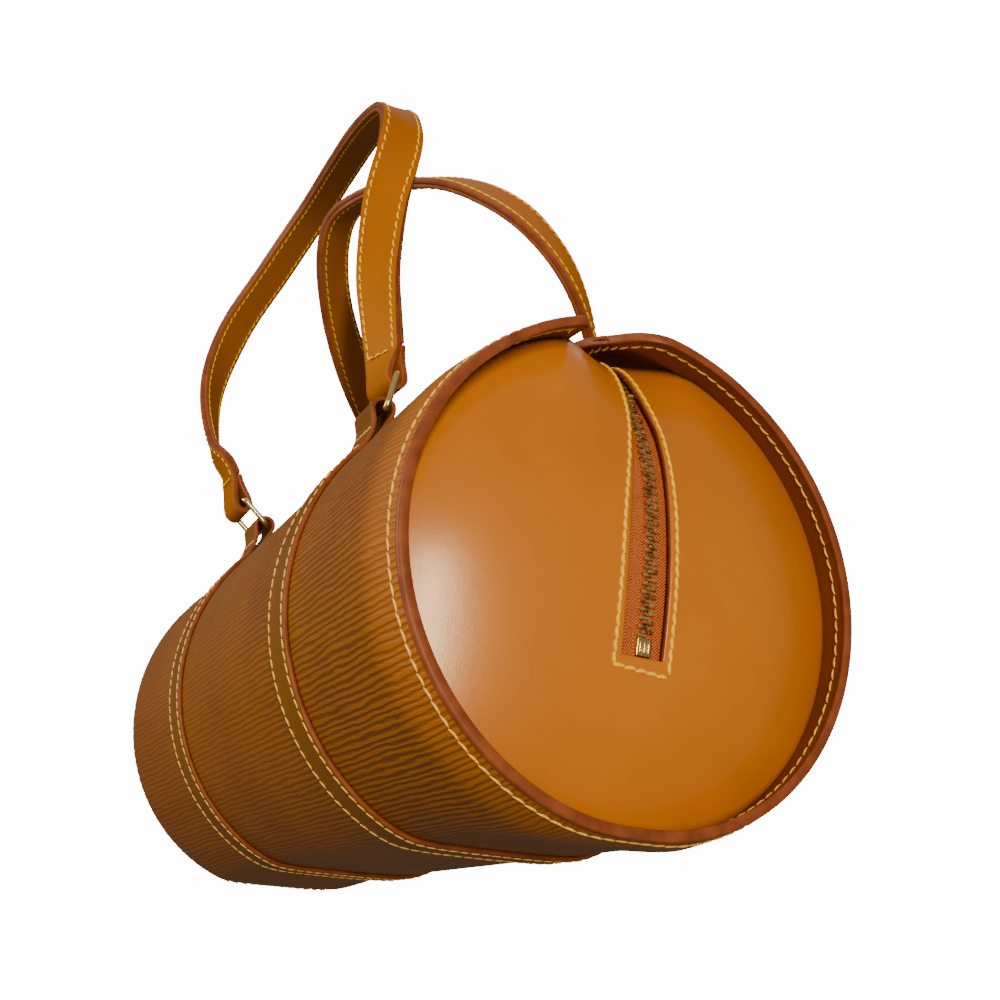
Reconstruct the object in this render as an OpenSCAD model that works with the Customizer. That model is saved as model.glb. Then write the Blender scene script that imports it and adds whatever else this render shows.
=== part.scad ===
// Barrel handbag: a leather tube with domed ends, a zip along the top and two strap handles.
// X runs along the barrel and Z is up. The origin is under the middle of the whole outline, on
// the surface that the bag rests on.

/* [Barrel] */
// Length of the barrel from rim to rim
body_l = 300; // [240:1:400]
// Outer radius of the round part of the barrel
body_r = 75; // [66:0.5:95]
// How far the bottom of the barrel is flattened between its bands
flat_depth = 5; // [3:0.5:9]
// Half of the length over which the bottom is flattened that far
flat_half_l = 96; // [75:1:110]
// Thickness of the grained outer leather
wrap_t = 1.5; // [1.2:0.1:3]
// Gap between two layers that are sewn together
sew_gap = 0.1; // [0.05:0.05:0.3]
// Half of the gap between the two long edges of the wrap
opening_half_w = 12; // [9:0.5:25]
// Radius of the rounded corners of the wrap beside the zip
flap_corner_r = 13; // [4:0.5:20]

/* [Rims] */
// How far each rim curls in at its edge
rim_curl = 2.6; // [0.5:0.1:3]
// Length over which the rim curls in
rim_curl_l = 14; // [6:0.5:18]
// Thickness of the leather that faces the inside of the rim
facing_t = 1.2; // [1:0.1:2.6]

/* [Ends] */
// Radius of the ball that the domed ends follow
dome_r = 175; // [140:1:220]
// How far the middle of a domed end stands past the rim
dome_proud = 4.6; // [0:0.2:9]
// Thickness of the smooth leather of the ends and of the strips beside the zip
panel_t = 1.5; // [1:0.1:2.2]
// Length of the flange that each end is sewn in by
flange_l = 12; // [6:0.5:20]
// Thickness of the stiff board behind each end
board_t = 1.2; // [0.8:0.1:2.5]
// Distance of a board's rim from the sewn edge of the end
board_margin = 3; // [2.5:0.5:8]

/* [Zip] */
// Width of the slot that shows the zip
slot_w = 12.6; // [10:0.2:16]
// How far below the barrel's axis the slot ends
slot_drop = 24; // [10:1:40]
// Width of the leather strip on each side of the zip, from its middle
strip_half_w = 28; // [26:0.5:34]
// Half of the width of the zip's two tapes together
tape_half_w = 14; // [10:0.5:16]
// Thickness of the zip tape
tape_t = 0.6; // [0.4:0.1:1]
// Distance between two teeth of one row
tooth_pitch = 2.35; // [2:0.05:4]
// Thickness of a tooth
tooth_t = 2.2; // [1.4:0.1:2.6]
// Distance of a tooth's outer end from the middle of the chain
tooth_reach = 2.4; // [1.8:0.1:3]
// Gap between the two rows of teeth that the slider's web runs in
chain_gap = 1.2; // [1:0.1:1.6]
// Length of the square stop at each end of the chain
stop_l = 5; // [3:0.5:8]
// Length of the slider
slider_l = 9.5; // [7:0.5:14]
// Thickness of each plate of the slider
slider_plate_t = 1.1; // [0.8:0.1:1.6]
// Distance of the closed slider from the middle of the bag
slider_x = 100; // [60:1:100]
// Clearance between the slider and the chain
slide_gap = 0.35; // [0.3:0.05:0.4]
// Length of the pull from its pin
pull_l = 24; // [12:1:30]
// Thickness of the pull
pull_t = 1; // [0.8:0.1:1.4]
// Radius of the pin that the pull swings on
pin_r = 0.6; // [0.5:0.05:0.8]
// Height of the pin over the slider
pin_rise = 2.1; // [2:0.1:3]
// Radial clearance of the pull on its pin
pin_gap = 0.25; // [0.15:0.05:0.35]

/* [Bands and rings] */
// Width of the two bands round the barrel
band_w = 16; // [12:0.5:20]
// Thickness of the bands
band_t = 2.2; // [1.4:0.1:3]
// Distance of each band from the middle of the barrel
band_x = 65.5; // [50:0.5:90]
// Angle from the top at which a band ends in its ring loop
ring_angle = 38.5; // [30:0.5:50]
// Height of the ring's lower bar over the band
loop_rise = 4.8; // [4.4:0.1:7]
// Thickness of the wire of the rings
wire_d = 2.2; // [1.6:0.1:2.8]
// Distance between the lower and the upper bar of a ring
ring_h = 14.4; // [12:0.2:20]
// Radius of the rings' corners at the middle of the wire
ring_corner_r = 2.4; // [1.8:0.1:3.5]
// Clearance of a ring beside its leather loops
ring_side_gap = 0.6; // [0.4:0.1:1.5]
// Radial clearance between the wire and the leather round it
wire_gap = 0.5; // [0.3:0.1:1]

/* [Handles] */
// Width of the handle straps
strap_w = 16; // [12:0.5:20]
// Thickness of the outer leather of a strap
strap_t = 2.2; // [1.6:0.1:2.6]
// Thickness of the leather that lines a strap
strap_lining_t = 1.5; // [1:0.1:1.8]
// Length of a strap's folded end, from the ring bar
strap_end_l = 12; // [9:0.5:16]
// Height that the handles are measured by, from the ring bar to about their top
handle_rise = 120; // [100:1:150]

/* [Inside] */
// Thickness of the sheet that stiffens the barrel
backing_t = 1.2; // [0.8:0.1:1.5]
// Thickness of the lining
lining_t = 0.6; // [0.4:0.1:1]
// Length of the pocket along the barrel
pocket_l = 150; // [80:1:180]
// Height of the pocket
pocket_h = 80; // [40:1:90]
// Height of the pocket's mouth over the barrel's axis
pocket_top = 28; // [10:1:38]
// Thickness of the pocket
pocket_t = 0.8; // [0.6:0.1:1.6]

/* [Hidden] */
$fn = 96;

// How far cuts run past what they cut
overrun = 1;

// Heights: the bands are the lowest layer, and the axis follows from the flattened bottom
band_seat = band_t + sew_gap;
axis_h = body_r - flat_depth + band_seat;

// Depths of the layers, measured in from the outside of the wrap
panel_depth = wrap_t + sew_gap;
inner_depth = panel_depth + panel_t + sew_gap;
board_back = inner_depth + board_t + sew_gap;
pocket_depth = inner_depth + lining_t + sew_gap;

// Places along the barrel
half_l = body_l / 2;
rim_x = half_l - rim_curl_l;
ball_x = half_l + dome_proud - dome_r;
seam_x = ball_x + sqrt(pow(dome_r, 2) - pow(body_r - panel_depth, 2));
flange_x = seam_x - flange_l;

// The chain runs through the middle of the tape
chain_depth = inner_depth + tape_t / 2;
chain_r = body_r - chain_depth;
chain_dome_r = dome_r - chain_depth + panel_depth;
chain_corner_x = ball_x + sqrt(pow(chain_dome_r, 2) - pow(chain_r, 2));
chain_corner_angle = asin(chain_r / chain_dome_r);
chain_end_angle = asin((stop_l - slot_drop) / chain_dome_r);
tooth_l = tooth_reach - chain_gap / 2;
tooth_w = tooth_pitch / 2;
teeth_half_count = floor(chain_corner_x / tooth_pitch - 1 / 2);
tooth_step = tooth_pitch / chain_dome_r * 180 / PI;
end_tooth_count = floor((chain_corner_angle - chain_end_angle) / tooth_step - 1);

// Slider, plate by plate
slider_half_w = tooth_reach + 3 * slide_gap + sew_gap;
plate_z = tooth_t / 2 + slide_gap;
lip_t = slider_half_w - tooth_reach - slide_gap;
web_t = chain_gap - 2 * slide_gap;
post_w = pin_r * 3 / 2;
pull_w = 2 * (slider_half_w - post_w - pin_gap);
eye_r = pin_rise - slide_gap;

// Rings and the leather round them
wire_r = wire_d / 2;
bore_r = wire_r + wire_gap;
ring_half = band_w / 2 + ring_side_gap + wire_r;
pivot_r = body_r + band_seat + loop_rise;
pivot_y = pivot_r * sin(ring_angle);
pivot_z = axis_h + pivot_r * cos(ring_angle);
loop_r = bore_r + 4 / 5 * band_t;
strap_total_t = strap_t + sew_gap + strap_lining_t;
fold_r = bore_r + strap_t;

// Lean of each ring from upright, towards the left side, and of the strap end on it
near_left_ring_lean = -10;
far_left_ring_lean = 50;
near_right_ring_lean = 38;
far_right_ring_lean = 48;
near_left_end_lean = 10;
far_left_end_lean = 22;
near_right_end_lean = 38;
far_right_end_lean = 48;

// Routes of the straps between their folded ends, from the near ring to the far ring:
// along the barrel in shares of the bands' distance, across and up from the near ring bar
// in shares of the handle's height, then the yaw and the lean of the strap's width
left_route_shares = [
    [0.96, -0.025, 0.22, 25, 0],
    [0.94, -0.045, 0.38, 50, 0],
    [1.02, -0.06, 0.59, 62, 2],
    [1.10, -0.06, 0.76, 78, 4],
    [1.06, -0.055, 0.88, 87, 5],
    [0.86, -0.045, 0.98, 90, 6],
    [0.44, -0.035, 1.05, 90, 6],
    [-0.12, -0.025, 1.11, 90, 8],
    [-0.66, -0.045, 1.09, 92, 10],
    [-1.08, -0.11, 0.94, 96, 12],
    [-1.34, -0.18, 0.73, 104, 14],
    [-1.34, -0.22, 0.46, 128, 14],
    [-1.18, -0.20, 0.20, 160, 8]
];
right_route_shares = [
    [1.26, -0.17, 0.24, 140, 40],
    [1.43, -0.30, 0.38, 120, 40],
    [1.42, -0.42, 0.50, 104, 40],
    [1.28, -0.53, 0.62, 95, 41],
    [1.03, -0.64, 0.725, 90, 43],
    [0.66, -0.75, 0.795, 90, 45],
    [0.28, -0.815, 0.81, 90, 46],
    [0.02, -0.80, 0.755, 86, 46],
    [-0.26, -0.72, 0.66, 76, 46],
    [-0.52, -0.61, 0.54, 62, 46],
    [-0.74, -0.48, 0.41, 44, 46],
    [-0.92, -0.30, 0.25, 20, 47]
];
route_steps = 5;

// Puts its children over the origin. The modules work in the barrel's own frame, where the axis is
// at y = 0, and the left handle reaches further out than the bands do on the right.
module centred() translate([0, (left_reach - right_reach) / 2, 0]) children();

// Everything over the barrel's bottom, which is flat between the bands and drops to the rims
module over_bottom(depth) {
    far = 2 * body_l;
    translate([0, 2 * body_r, depth]) rotate([90, 0, 0]) linear_extrude(height = 4 * body_r) polygon([
        [-far, 0], [-rim_x, 0], [-flat_half_l, band_seat], [flat_half_l, band_seat],
        [rim_x, 0], [far, 0], [far, far], [-far, far]
    ]);
}

// Solid of the barrel at a depth under its outside, with the flattened bottom
module tube_form(depth, length) {
    intersection() {
        translate([0, 0, axis_h]) rotate([0, 90, 0])
            cylinder(r = body_r - depth, h = length, center = true);
        over_bottom(depth);
    }
}

// The same solid with its ends curled in as the rims are, and longer by extra at each end
module rim_form(depth, extra) {
    reach = half_l + extra;
    end_r = body_r - depth - rim_curl * (rim_curl_l + extra) / rim_curl_l;
    intersection() {
        translate([0, 0, axis_h]) rotate([0, 90, 0]) rotate_extrude() polygon([
            [0, -reach], [end_r, -reach], [body_r - depth, -rim_x],
            [body_r - depth, rim_x], [end_r, reach], [0, reach]
        ]);
        over_bottom(depth);
    }
}

// Near half of the barrel, closed by its dome, at a depth under the outside
module end_form(depth) {
    intersection() {
        rim_form(depth, 2 * dome_proud + 2 * overrun);
        translate([ball_x, 0, axis_h]) sphere(r = dome_r - depth + panel_depth, $fn = 180);
        translate([0, -2 * body_r, 0]) cube([body_l, 4 * body_r, 4 * body_r]);
    }
}

// Near end layer between two depths
module end_layer(depth, thickness) {
    difference() {
        end_form(depth);
        end_form(depth + thickness);
    }
}

// Upright block over the axis, used to cut along the top
module top_block(half_w, half_length, drop) {
    translate([-half_length, -half_w, axis_h - drop])
        cube([2 * half_length, 2 * half_w, 2 * body_r + drop]);
}

// Draws its children at the far end of the barrel instead of the near one
module at_far_end() {
    mirror([1, 0, 0]) children();
}

// Draws its children on the right side of the barrel instead of the left one
module on_right_side() {
    mirror([0, 1, 0]) children();
}

// Turns a drawing of the cross-section into a slice of the barrel at x
module slice(x, width) {
    translate([x, 0, axis_h]) rotate([90, 0, 90])
        linear_extrude(height = width, center = true) children();
}

// Cross-section of the barrel at a depth under its outside
module section(depth) {
    intersection() {
        circle(r = body_r - depth);
        translate([-2 * body_r, band_seat + depth - axis_h]) square(4 * body_r);
    }
}

// Gap between the wrap's two long edges, with the rounded corners at both ends
module wrap_opening() {
    corner_x = half_l + overrun - flap_corner_r;
    translate([0, 0, axis_h]) linear_extrude(height = 2 * body_r) {
        square([2 * body_l, 2 * opening_half_w], center = true);
        for (end = [0, 1], side = [0, 1]) mirror([end, 0]) mirror([0, side])
            difference() {
                translate([corner_x, opening_half_w - sew_gap])
                    square([flap_corner_r + overrun, flap_corner_r + sew_gap]);
                translate([corner_x - overrun, opening_half_w + flap_corner_r])
                    circle(r = flap_corner_r);
            }
    }
}

// Grained leather round the barrel
module body_wrap() color("#8a5a20") centred() difference() {
    rim_form(0, 0);
    rim_form(wrap_t, overrun);
    wrap_opening();
}

// Stiff sheet under the wrap, between the two sewn-in ends and the zip strips
module wrap_backing() color("#c9b48c") centred() difference() {
    tube_form(panel_depth, 2 * (flange_x - sew_gap));
    tube_form(panel_depth + backing_t, body_l);
    top_block(strip_half_w + sew_gap, body_l, 0);
}

// Smooth leather that faces the inside of a rim, from the domed end out to the edge
module rim_facing() difference() {
    rim_form(panel_depth, 0);
    rim_form(panel_depth + facing_t, overrun);
    translate([ball_x - 2 * body_l, -2 * body_r, 0]) cube([2 * body_l, 4 * body_r, 4 * body_r]);
    translate([ball_x, 0, axis_h]) sphere(r = dome_r + 3 * sew_gap, $fn = 180);
    wrap_opening();
}
module near_rim_facing() color("#7a4a1c") centred() rim_facing();
module far_rim_facing() color("#7a4a1c") centred() at_far_end() rim_facing();

// Domed leather end with its sewn-in flange and the slot for the zip
module end_panel() difference() {
    end_layer(panel_depth, panel_t);
    translate([flange_x - body_l, -2 * body_r, 0]) cube([body_l, 4 * body_r, 4 * body_r]);
    top_block(slot_w / 2, body_l, slot_drop);
}
module near_end_panel() color("#c47820") centred() end_panel();
module far_end_panel() color("#c47820") centred() at_far_end() end_panel();

// Stiff board behind a domed end, cut out round the zip tape
module end_board() intersection() {
    difference() {
        end_layer(inner_depth, board_t);
        top_block(tape_half_w + sew_gap, body_l, slot_drop + stop_l + sew_gap);
    }
    translate([half_l, 0, axis_h]) rotate([0, 90, 0])
        cylinder(r = body_r - inner_depth - board_margin, h = body_l, center = true);
    translate([0, -body_r, board_margin + band_seat + inner_depth])
        cube([body_l, 2 * body_r, 2 * body_r]);
}
module near_end_board() color("#c9b48c") centred() end_board();
module far_end_board() color("#c9b48c") centred() at_far_end() end_board();

// Smooth leather strip beside the zip, under the edge of the wrap
module zip_strip() intersection() {
    difference() {
        tube_form(panel_depth, 2 * (flange_x - sew_gap));
        tube_form(panel_depth + panel_t, body_l);
    }
    translate([-body_l, -strip_half_w, axis_h]) cube([2 * body_l, strip_half_w - slot_w / 2, 2 * body_r]);
}
module left_zip_strip() color("#c47820") centred() zip_strip();
module right_zip_strip() color("#c47820") centred() on_right_side() zip_strip();

// Woven tape of one side of the zip, over the top and down both ends
module zip_tape() intersection() {
    union() {
        end_layer(inner_depth, tape_t);
        at_far_end() end_layer(inner_depth, tape_t);
    }
    translate([-body_l, -tape_half_w, axis_h - slot_drop - stop_l])
        cube([2 * body_l, tape_half_w - tooth_reach - sew_gap, 2 * body_r + slot_drop]);
}
module left_zip_tape() color("#a04820") centred() zip_tape();
module right_zip_tape() color("#a04820") centred() on_right_side() zip_tape();

// Places its children on the chain where it runs down the near end, at an angle over the axis
module on_end_chain(angle) {
    translate([ball_x, 0, axis_h]) rotate([0, -angle, 0]) translate([chain_dome_r, 0, 0])
        rotate([0, 90, 0]) children();
}

// One tooth of the left row
module tooth() {
    translate([-tooth_w / 2, -tooth_reach, -tooth_t / 2]) cube([tooth_w, tooth_l, tooth_t]);
}

// Row of teeth along one side of the chain
module zip_teeth() {
    for (i = [-teeth_half_count:teeth_half_count])
        translate([i * tooth_pitch, 0, axis_h + chain_r]) tooth();
    for (end = [0, 1], i = [1:end_tooth_count]) mirror([end, 0, 0])
        on_end_chain(chain_corner_angle - i * tooth_step) tooth();
}
module left_zip_teeth() color("#b8924a") centred() zip_teeth();
module right_zip_teeth() color("#b8924a") centred() on_right_side() zip_teeth();

// Square metal stop that closes the end of the chain
module zip_stop() {
    stop_angle = chain_end_angle - (stop_l / 2 - tooth_w) / chain_dome_r * 180 / PI;
    on_end_chain(stop_angle) cube([stop_l, 2 * tooth_reach, tooth_t], center = true);
}
module near_zip_stop() color("#e0c070") centred() zip_stop();
module far_zip_stop() color("#e0c070") centred() at_far_end() zip_stop();

// Slider with its two plates, their lips, the web between the rows and the pin for the pull
module zip_slider() color("#e0c070") centred() translate([-slider_x, 0, axis_h + chain_r]) {
    for (side = [0, 1]) mirror([0, 0, side]) {
        translate([-slider_l / 2, -slider_half_w, plate_z])
            cube([slider_l, 2 * slider_half_w, slider_plate_t]);
        for (edge = [0, 1]) mirror([0, edge, 0])
            translate([-slider_l / 2, slider_half_w - lip_t, tape_t / 2 + slide_gap])
                cube([slider_l, lip_t, plate_z - tape_t / 2]);
    }
    translate([-slider_l / 4, -web_t / 2, -plate_z - slider_plate_t / 2])
        cube([slider_l / 2, web_t, 2 * plate_z + slider_plate_t]);
    for (edge = [0, 1]) mirror([0, edge, 0])
        translate([-post_w, slider_half_w - post_w, plate_z + slider_plate_t / 2])
            cube([2 * post_w, post_w, slider_plate_t / 2 + pin_rise + pin_r]);
    translate([0, 0, plate_z + slider_plate_t + pin_rise]) rotate([90, 0, 0])
        cylinder(r = pin_r, h = 2 * slider_half_w - post_w, center = true);
}

// Pull that swings on the slider's pin
module zip_pull() color("#e0c070") centred()
    translate([-slider_x, 0, axis_h + chain_r + plate_z + slider_plate_t + pin_rise]) difference() {
        union() {
            rotate([90, 0, 0]) cylinder(r = eye_r, h = pull_w, center = true);
            translate([0, 0, -pull_t / 2]) linear_extrude(height = pull_t) {
                translate([0, -pull_w / 2]) square([pull_l - pull_w / 2, pull_w]);
                translate([pull_l - pull_w / 2, 0]) circle(r = pull_w / 2);
            }
        }
        rotate([90, 0, 0]) cylinder(r = pin_r + pin_gap, h = 2 * pull_w, center = true);
    }

// Leather folded round a wire along Z at the origin, with its neck reaching down to foot
module wire_fold(outer_r, neck_half_w, foot, width) {
    shoulder = (outer_r + bore_r) / 2;
    difference() {
        union() {
            cylinder(r = outer_r, h = width, center = true);
            linear_extrude(height = width, center = true) polygon([
                [-shoulder, 0], [shoulder, 0], [neck_half_w, -foot], [-neck_half_w, -foot]
            ]);
        }
        cylinder(r = bore_r, h = width + 2 * overrun, center = true);
    }
}

// Band round the barrel with a loop for a ring at each end
module band(x) {
    far = 3 * body_r;
    end_angle = ring_angle - loop_r / body_r * 180 / PI;
    slice(x, band_w) difference() {
        section(-band_seat);
        section(-sew_gap);
        polygon([[0, 0], [far * sin(end_angle), far * cos(end_angle)],
            [-far * sin(end_angle), far * cos(end_angle)]]);
    }
    translate([x, 0, axis_h]) rotate([90, 0, 90])
        for (side = [-1, 1]) rotate(side * ring_angle) translate([0, pivot_r, 0])
            wire_fold(loop_r, loop_r - sew_gap, loop_rise + band_t / 2, band_w - 2 * sew_gap);
}
module near_band() color("#7a5610") centred() band(band_x);
module far_band() color("#7a5610") centred() band(-band_x);

// Rectangular ring of bent wire, standing on its lower bar, which is at the origin
module wire_ring() {
    bar_l = 2 * (ring_half - ring_corner_r);
    side_l = ring_h - 2 * ring_corner_r;
    for (z = [0, ring_h]) translate([0, 0, z]) rotate([0, 90, 0])
        cylinder(r = wire_r, h = bar_l, center = true);
    for (side = [-1, 1]) translate([side * ring_half, 0, ring_corner_r])
        cylinder(r = wire_r, h = side_l);
    for (side = [0, 1], top = [0, 1]) translate([0, 0, ring_h / 2]) mirror([side, 0, 0])
        mirror([0, 0, top]) translate([bar_l / 2, 0, side_l / 2]) rotate([90, 0, 0])
            rotate_extrude(angle = 90) translate([ring_corner_r, 0]) circle(r = wire_r, $fn = 32);
}
module ring_at(x, y, lean) translate([x, y, pivot_z]) rotate([lean, 0, 0]) wire_ring();
module near_left_ring() color("#e8d898") centred() ring_at(band_x, -pivot_y, near_left_ring_lean);
module far_left_ring() color("#e8d898") centred() ring_at(-band_x, -pivot_y, far_left_ring_lean);
module near_right_ring() color("#e8d898") centred() ring_at(band_x, pivot_y, near_right_ring_lean);
module far_right_ring() color("#e8d898") centred() ring_at(-band_x, pivot_y, far_right_ring_lean);

// Middle of the upper bar of a ring, the way that a strap leaves it, and where the strap starts
function upper_bar(x, y, lean) = [x, y - ring_h * sin(lean), pivot_z + ring_h * cos(lean)];
function strap_way(lean) = [0, -sin(lean), cos(lean)];
function strap_foot(bar, lean) = bar + strap_end_l * strap_way(lean);

near_left_bar = upper_bar(band_x, -pivot_y, near_left_ring_lean);
far_left_bar = upper_bar(-band_x, -pivot_y, far_left_ring_lean);
near_right_bar = upper_bar(band_x, pivot_y, near_right_ring_lean);
far_right_bar = upper_bar(-band_x, pivot_y, far_right_ring_lean);

// Strap end folded round the upper bar of a ring and sewn to itself
module strap_end(bar, lean) translate(bar) rotate([lean, 0, 0])
    rotate([-90, 0, 90]) wire_fold(fold_r, strap_total_t / 2, strap_end_l - sew_gap, strap_w);
module near_left_strap_end() color("#a06400") centred() strap_end(near_left_bar, near_left_end_lean);
module far_left_strap_end() color("#a06400") centred() strap_end(far_left_bar, far_left_end_lean);
module near_right_strap_end() color("#a06400") centred() strap_end(near_right_bar, near_right_end_lean);
module far_right_strap_end() color("#a06400") centred() strap_end(far_right_bar, far_right_end_lean);

// Rows of a strap's route: place, then yaw and lean of the width. The rows before and after the
// strap guide it, so that it leaves both of its folded ends straight.
function place(row) = [row[0], row[1], row[2]];
function middle_rows(shares, near_bar) = [for (s = shares) [
    s[0] * band_x, near_bar[1] + s[1] * handle_rise, near_bar[2] + s[2] * handle_rise, s[3], s[4]
]];
function foot_row(bar, lean, yaw) = [each strap_foot(bar, lean), yaw, lean];
function guide_row(foot, next) =
    [each place(next) - 2 * norm(place(next) - place(foot)) * strap_way(foot[4]), foot[3], foot[4]];
function route_rows(middle, near_foot, far_foot) = concat(
    [guide_row(near_foot, middle[0]), near_foot], middle,
    [far_foot, guide_row(far_foot, middle[len(middle) - 1])]
);

// Smooth curve through the rows of a route
function blend_rows(a, b, c, d, t) =
    (2 * b + (c - a) * t + (2 * a - 5 * b + 4 * c - d) * pow(t, 2)
        + (3 * b - a - 3 * c + d) * pow(t, 3)) / 2;
function smooth_rows(rows) = concat(
    [for (i = [1:len(rows) - 3], s = [0:route_steps - 1])
        blend_rows(rows[i - 1], rows[i], rows[i + 1], rows[i + 2], s / route_steps)],
    [rows[len(rows) - 2]]
);
function unit(v) = v / norm(v);
function heading(rows, i) = i == 0 ? strap_way(rows[i][4])
    : i == len(rows) - 1 ? -strap_way(rows[i][4])
    : unit(place(rows[i + 1]) - place(rows[i - 1]));
function width_way(row, along) =
    let (w = [cos(row[3]), sin(row[3]) * cos(row[4]), sin(row[3]) * sin(row[4])])
    unit(w - (w * along) * along);

// Corners of a strap along its route, four in each row
function strap_corners(rows, inner_face, outer_face) = [for (i = [0:len(rows) - 1])
    let (along = heading(rows, i), across = width_way(rows[i], along), out = cross(across, along))
    for (c = [[1, outer_face], [-1, outer_face], [-1, inner_face], [1, inner_face]])
        place(rows[i]) + across * c[0] * strap_w / 2 + out * c[1]
];

// Flat strap swept along a route, with its faces at two distances from the route's middle
module swept_strap(rows, inner_face, outer_face) {
    last = len(rows) - 1;
    sides = [for (i = [0:last - 1], k = [0:3])
        let (a = 4 * i + k, b = 4 * i + (k + 1) % 4)
        each k == 0 ? [[a, b, a + 4], [b, b + 4, a + 4]] : [[a, b, b + 4], [a, b + 4, a + 4]]
    ];
    ends = [[0, 2, 1], [0, 3, 2], [4 * last, 4 * last + 1, 4 * last + 2],
        [4 * last, 4 * last + 2, 4 * last + 3]];
    polyhedron(points = strap_corners(rows, inner_face, outer_face), faces = concat(sides, ends));
}

left_rows = smooth_rows(route_rows(middle_rows(left_route_shares, near_left_bar),
    foot_row(near_left_bar, near_left_end_lean, 0), foot_row(far_left_bar, far_left_end_lean, 180)));
right_rows = smooth_rows(route_rows(middle_rows(right_route_shares, near_right_bar),
    foot_row(near_right_bar, near_right_end_lean, 180), foot_row(far_right_bar, far_right_end_lean, 0)));
strap_face = strap_total_t / 2;
lining_face = strap_face - strap_t;

// Furthest that the bag reaches from the barrel's axis, to the right and to the left
right_reach = body_r + band_seat;
left_reach = -min([-right_reach, each [for (p = strap_corners(left_rows, -strap_face, strap_face)) p[1]]]);

module left_strap() color("#a06400") centred() swept_strap(left_rows, lining_face, strap_face);
module left_strap_lining() color("#7a4a1c") centred()
    swept_strap(left_rows, -strap_face, lining_face - sew_gap);
module right_strap() color("#a06400") centred() swept_strap(right_rows, lining_face, strap_face);
module right_strap_lining() color("#7a4a1c") centred()
    swept_strap(right_rows, -strap_face, lining_face - sew_gap);

// Cloth lining of the barrel, open along the zip
module lining_tube() color("#6e4a2a") centred() difference() {
    tube_form(inner_depth, 2 * (seam_x - 2 * panel_t));
    tube_form(inner_depth + lining_t, body_l);
    top_block(tape_half_w + sew_gap, body_l, 0);
}

// Cloth lining of a domed end, inside the lining tube, open along the zip
module end_lining() difference() {
    intersection() {
        end_layer(board_back, lining_t);
        tube_form(inner_depth + lining_t + sew_gap, 2 * body_l);
        translate([seam_x - 2 * flange_l, -body_r, 0]) cube([body_l, 2 * body_r, 3 * body_r]);
    }
    translate([ball_x, -body_r, 0]) cube([seam_x - 3 * panel_t - ball_x, 2 * body_r, 3 * body_r]);
    top_block(slot_w, body_l, slot_drop + stop_l);
}
module near_end_lining() color("#6e4a2a") centred() end_lining();
module far_end_lining() color("#6e4a2a") centred() at_far_end() end_lining();

// Flat pocket sewn to the lining on the left side
module inner_pocket() color("#7a5634") centred() slice(0, pocket_l) intersection() {
    difference() {
        circle(r = body_r - pocket_depth);
        circle(r = body_r - pocket_depth - pocket_t);
    }
    translate([-body_r, pocket_top - pocket_h]) square([body_r, pocket_h]);
}

body_wrap();
wrap_backing();
near_rim_facing();
far_rim_facing();
near_end_panel();
far_end_panel();
near_end_board();
far_end_board();
left_zip_strip();
right_zip_strip();
left_zip_tape();
right_zip_tape();
left_zip_teeth();
right_zip_teeth();
near_zip_stop();
far_zip_stop();
zip_slider();
zip_pull();
near_band();
far_band();
near_left_ring();
far_left_ring();
near_right_ring();
far_right_ring();
left_strap();
left_strap_lining();
near_left_strap_end();
far_left_strap_end();
right_strap();
right_strap_lining();
near_right_strap_end();
far_right_strap_end();
lining_tube();
near_end_lining();
far_end_lining();
inner_pocket();
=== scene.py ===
# Looks of a leather barrel handbag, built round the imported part. Lengths are in millimetres
# until a piece's mesh is made, and the mesh is in metres.
import math
import random
from bisect import bisect_right
import bmesh
import bpy
from mathutils import Matrix, Vector


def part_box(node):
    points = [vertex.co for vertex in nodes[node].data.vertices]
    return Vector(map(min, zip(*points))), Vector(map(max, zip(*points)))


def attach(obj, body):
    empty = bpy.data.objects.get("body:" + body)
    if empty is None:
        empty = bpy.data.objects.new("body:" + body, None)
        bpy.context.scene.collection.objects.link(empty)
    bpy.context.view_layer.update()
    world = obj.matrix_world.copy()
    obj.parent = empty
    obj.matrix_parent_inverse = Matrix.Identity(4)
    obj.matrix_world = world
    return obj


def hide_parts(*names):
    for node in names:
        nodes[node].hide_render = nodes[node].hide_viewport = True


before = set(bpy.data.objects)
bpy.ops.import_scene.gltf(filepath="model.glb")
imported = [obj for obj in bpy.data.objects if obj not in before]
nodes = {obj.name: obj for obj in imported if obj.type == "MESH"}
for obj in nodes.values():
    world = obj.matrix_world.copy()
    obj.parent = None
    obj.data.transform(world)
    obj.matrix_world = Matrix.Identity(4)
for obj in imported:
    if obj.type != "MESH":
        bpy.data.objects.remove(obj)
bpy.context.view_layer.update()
scene = bpy.context.scene
mm = 0.001
shake = random.Random(11)
# The barrel's axis isn't at y = 0. Pieces are shaped as if it were, and then moved to it.
axisY = (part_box("near_band")[0].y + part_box("near_band")[1].y) / 2
print("stage: frame loaded,", len(nodes), "nodes")


def linear(code):
    channels = [int(code[i:i + 2], 16) / 255 for i in (0, 2, 4)]
    return [c / 12.92 if c <= 0.04045 else ((c + 0.055) / 1.055) ** 2.4 for c in channels] + [1]


# Stops are the (place, colour) pairs of a colour ramp
def addNode(tree, kind, settings=None, links=None, stops=()):
    made = tree.nodes.new(kind)
    for key, value in (settings or {}).items():
        setattr(made, key, value)
    for key, value in (links or {}).items():
        if isinstance(value, bpy.types.NodeSocket):
            tree.links.new(value, made.inputs[key])
        else:
            made.inputs[key].default_value = value
    if stops:
        bar = made.color_ramp.elements
        while len(bar) < len(stops):
            bar.new(0.5)
        for element, (place, code) in zip(bar, stops):
            element.position = place
            element.color = linear(code)
    return made


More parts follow.
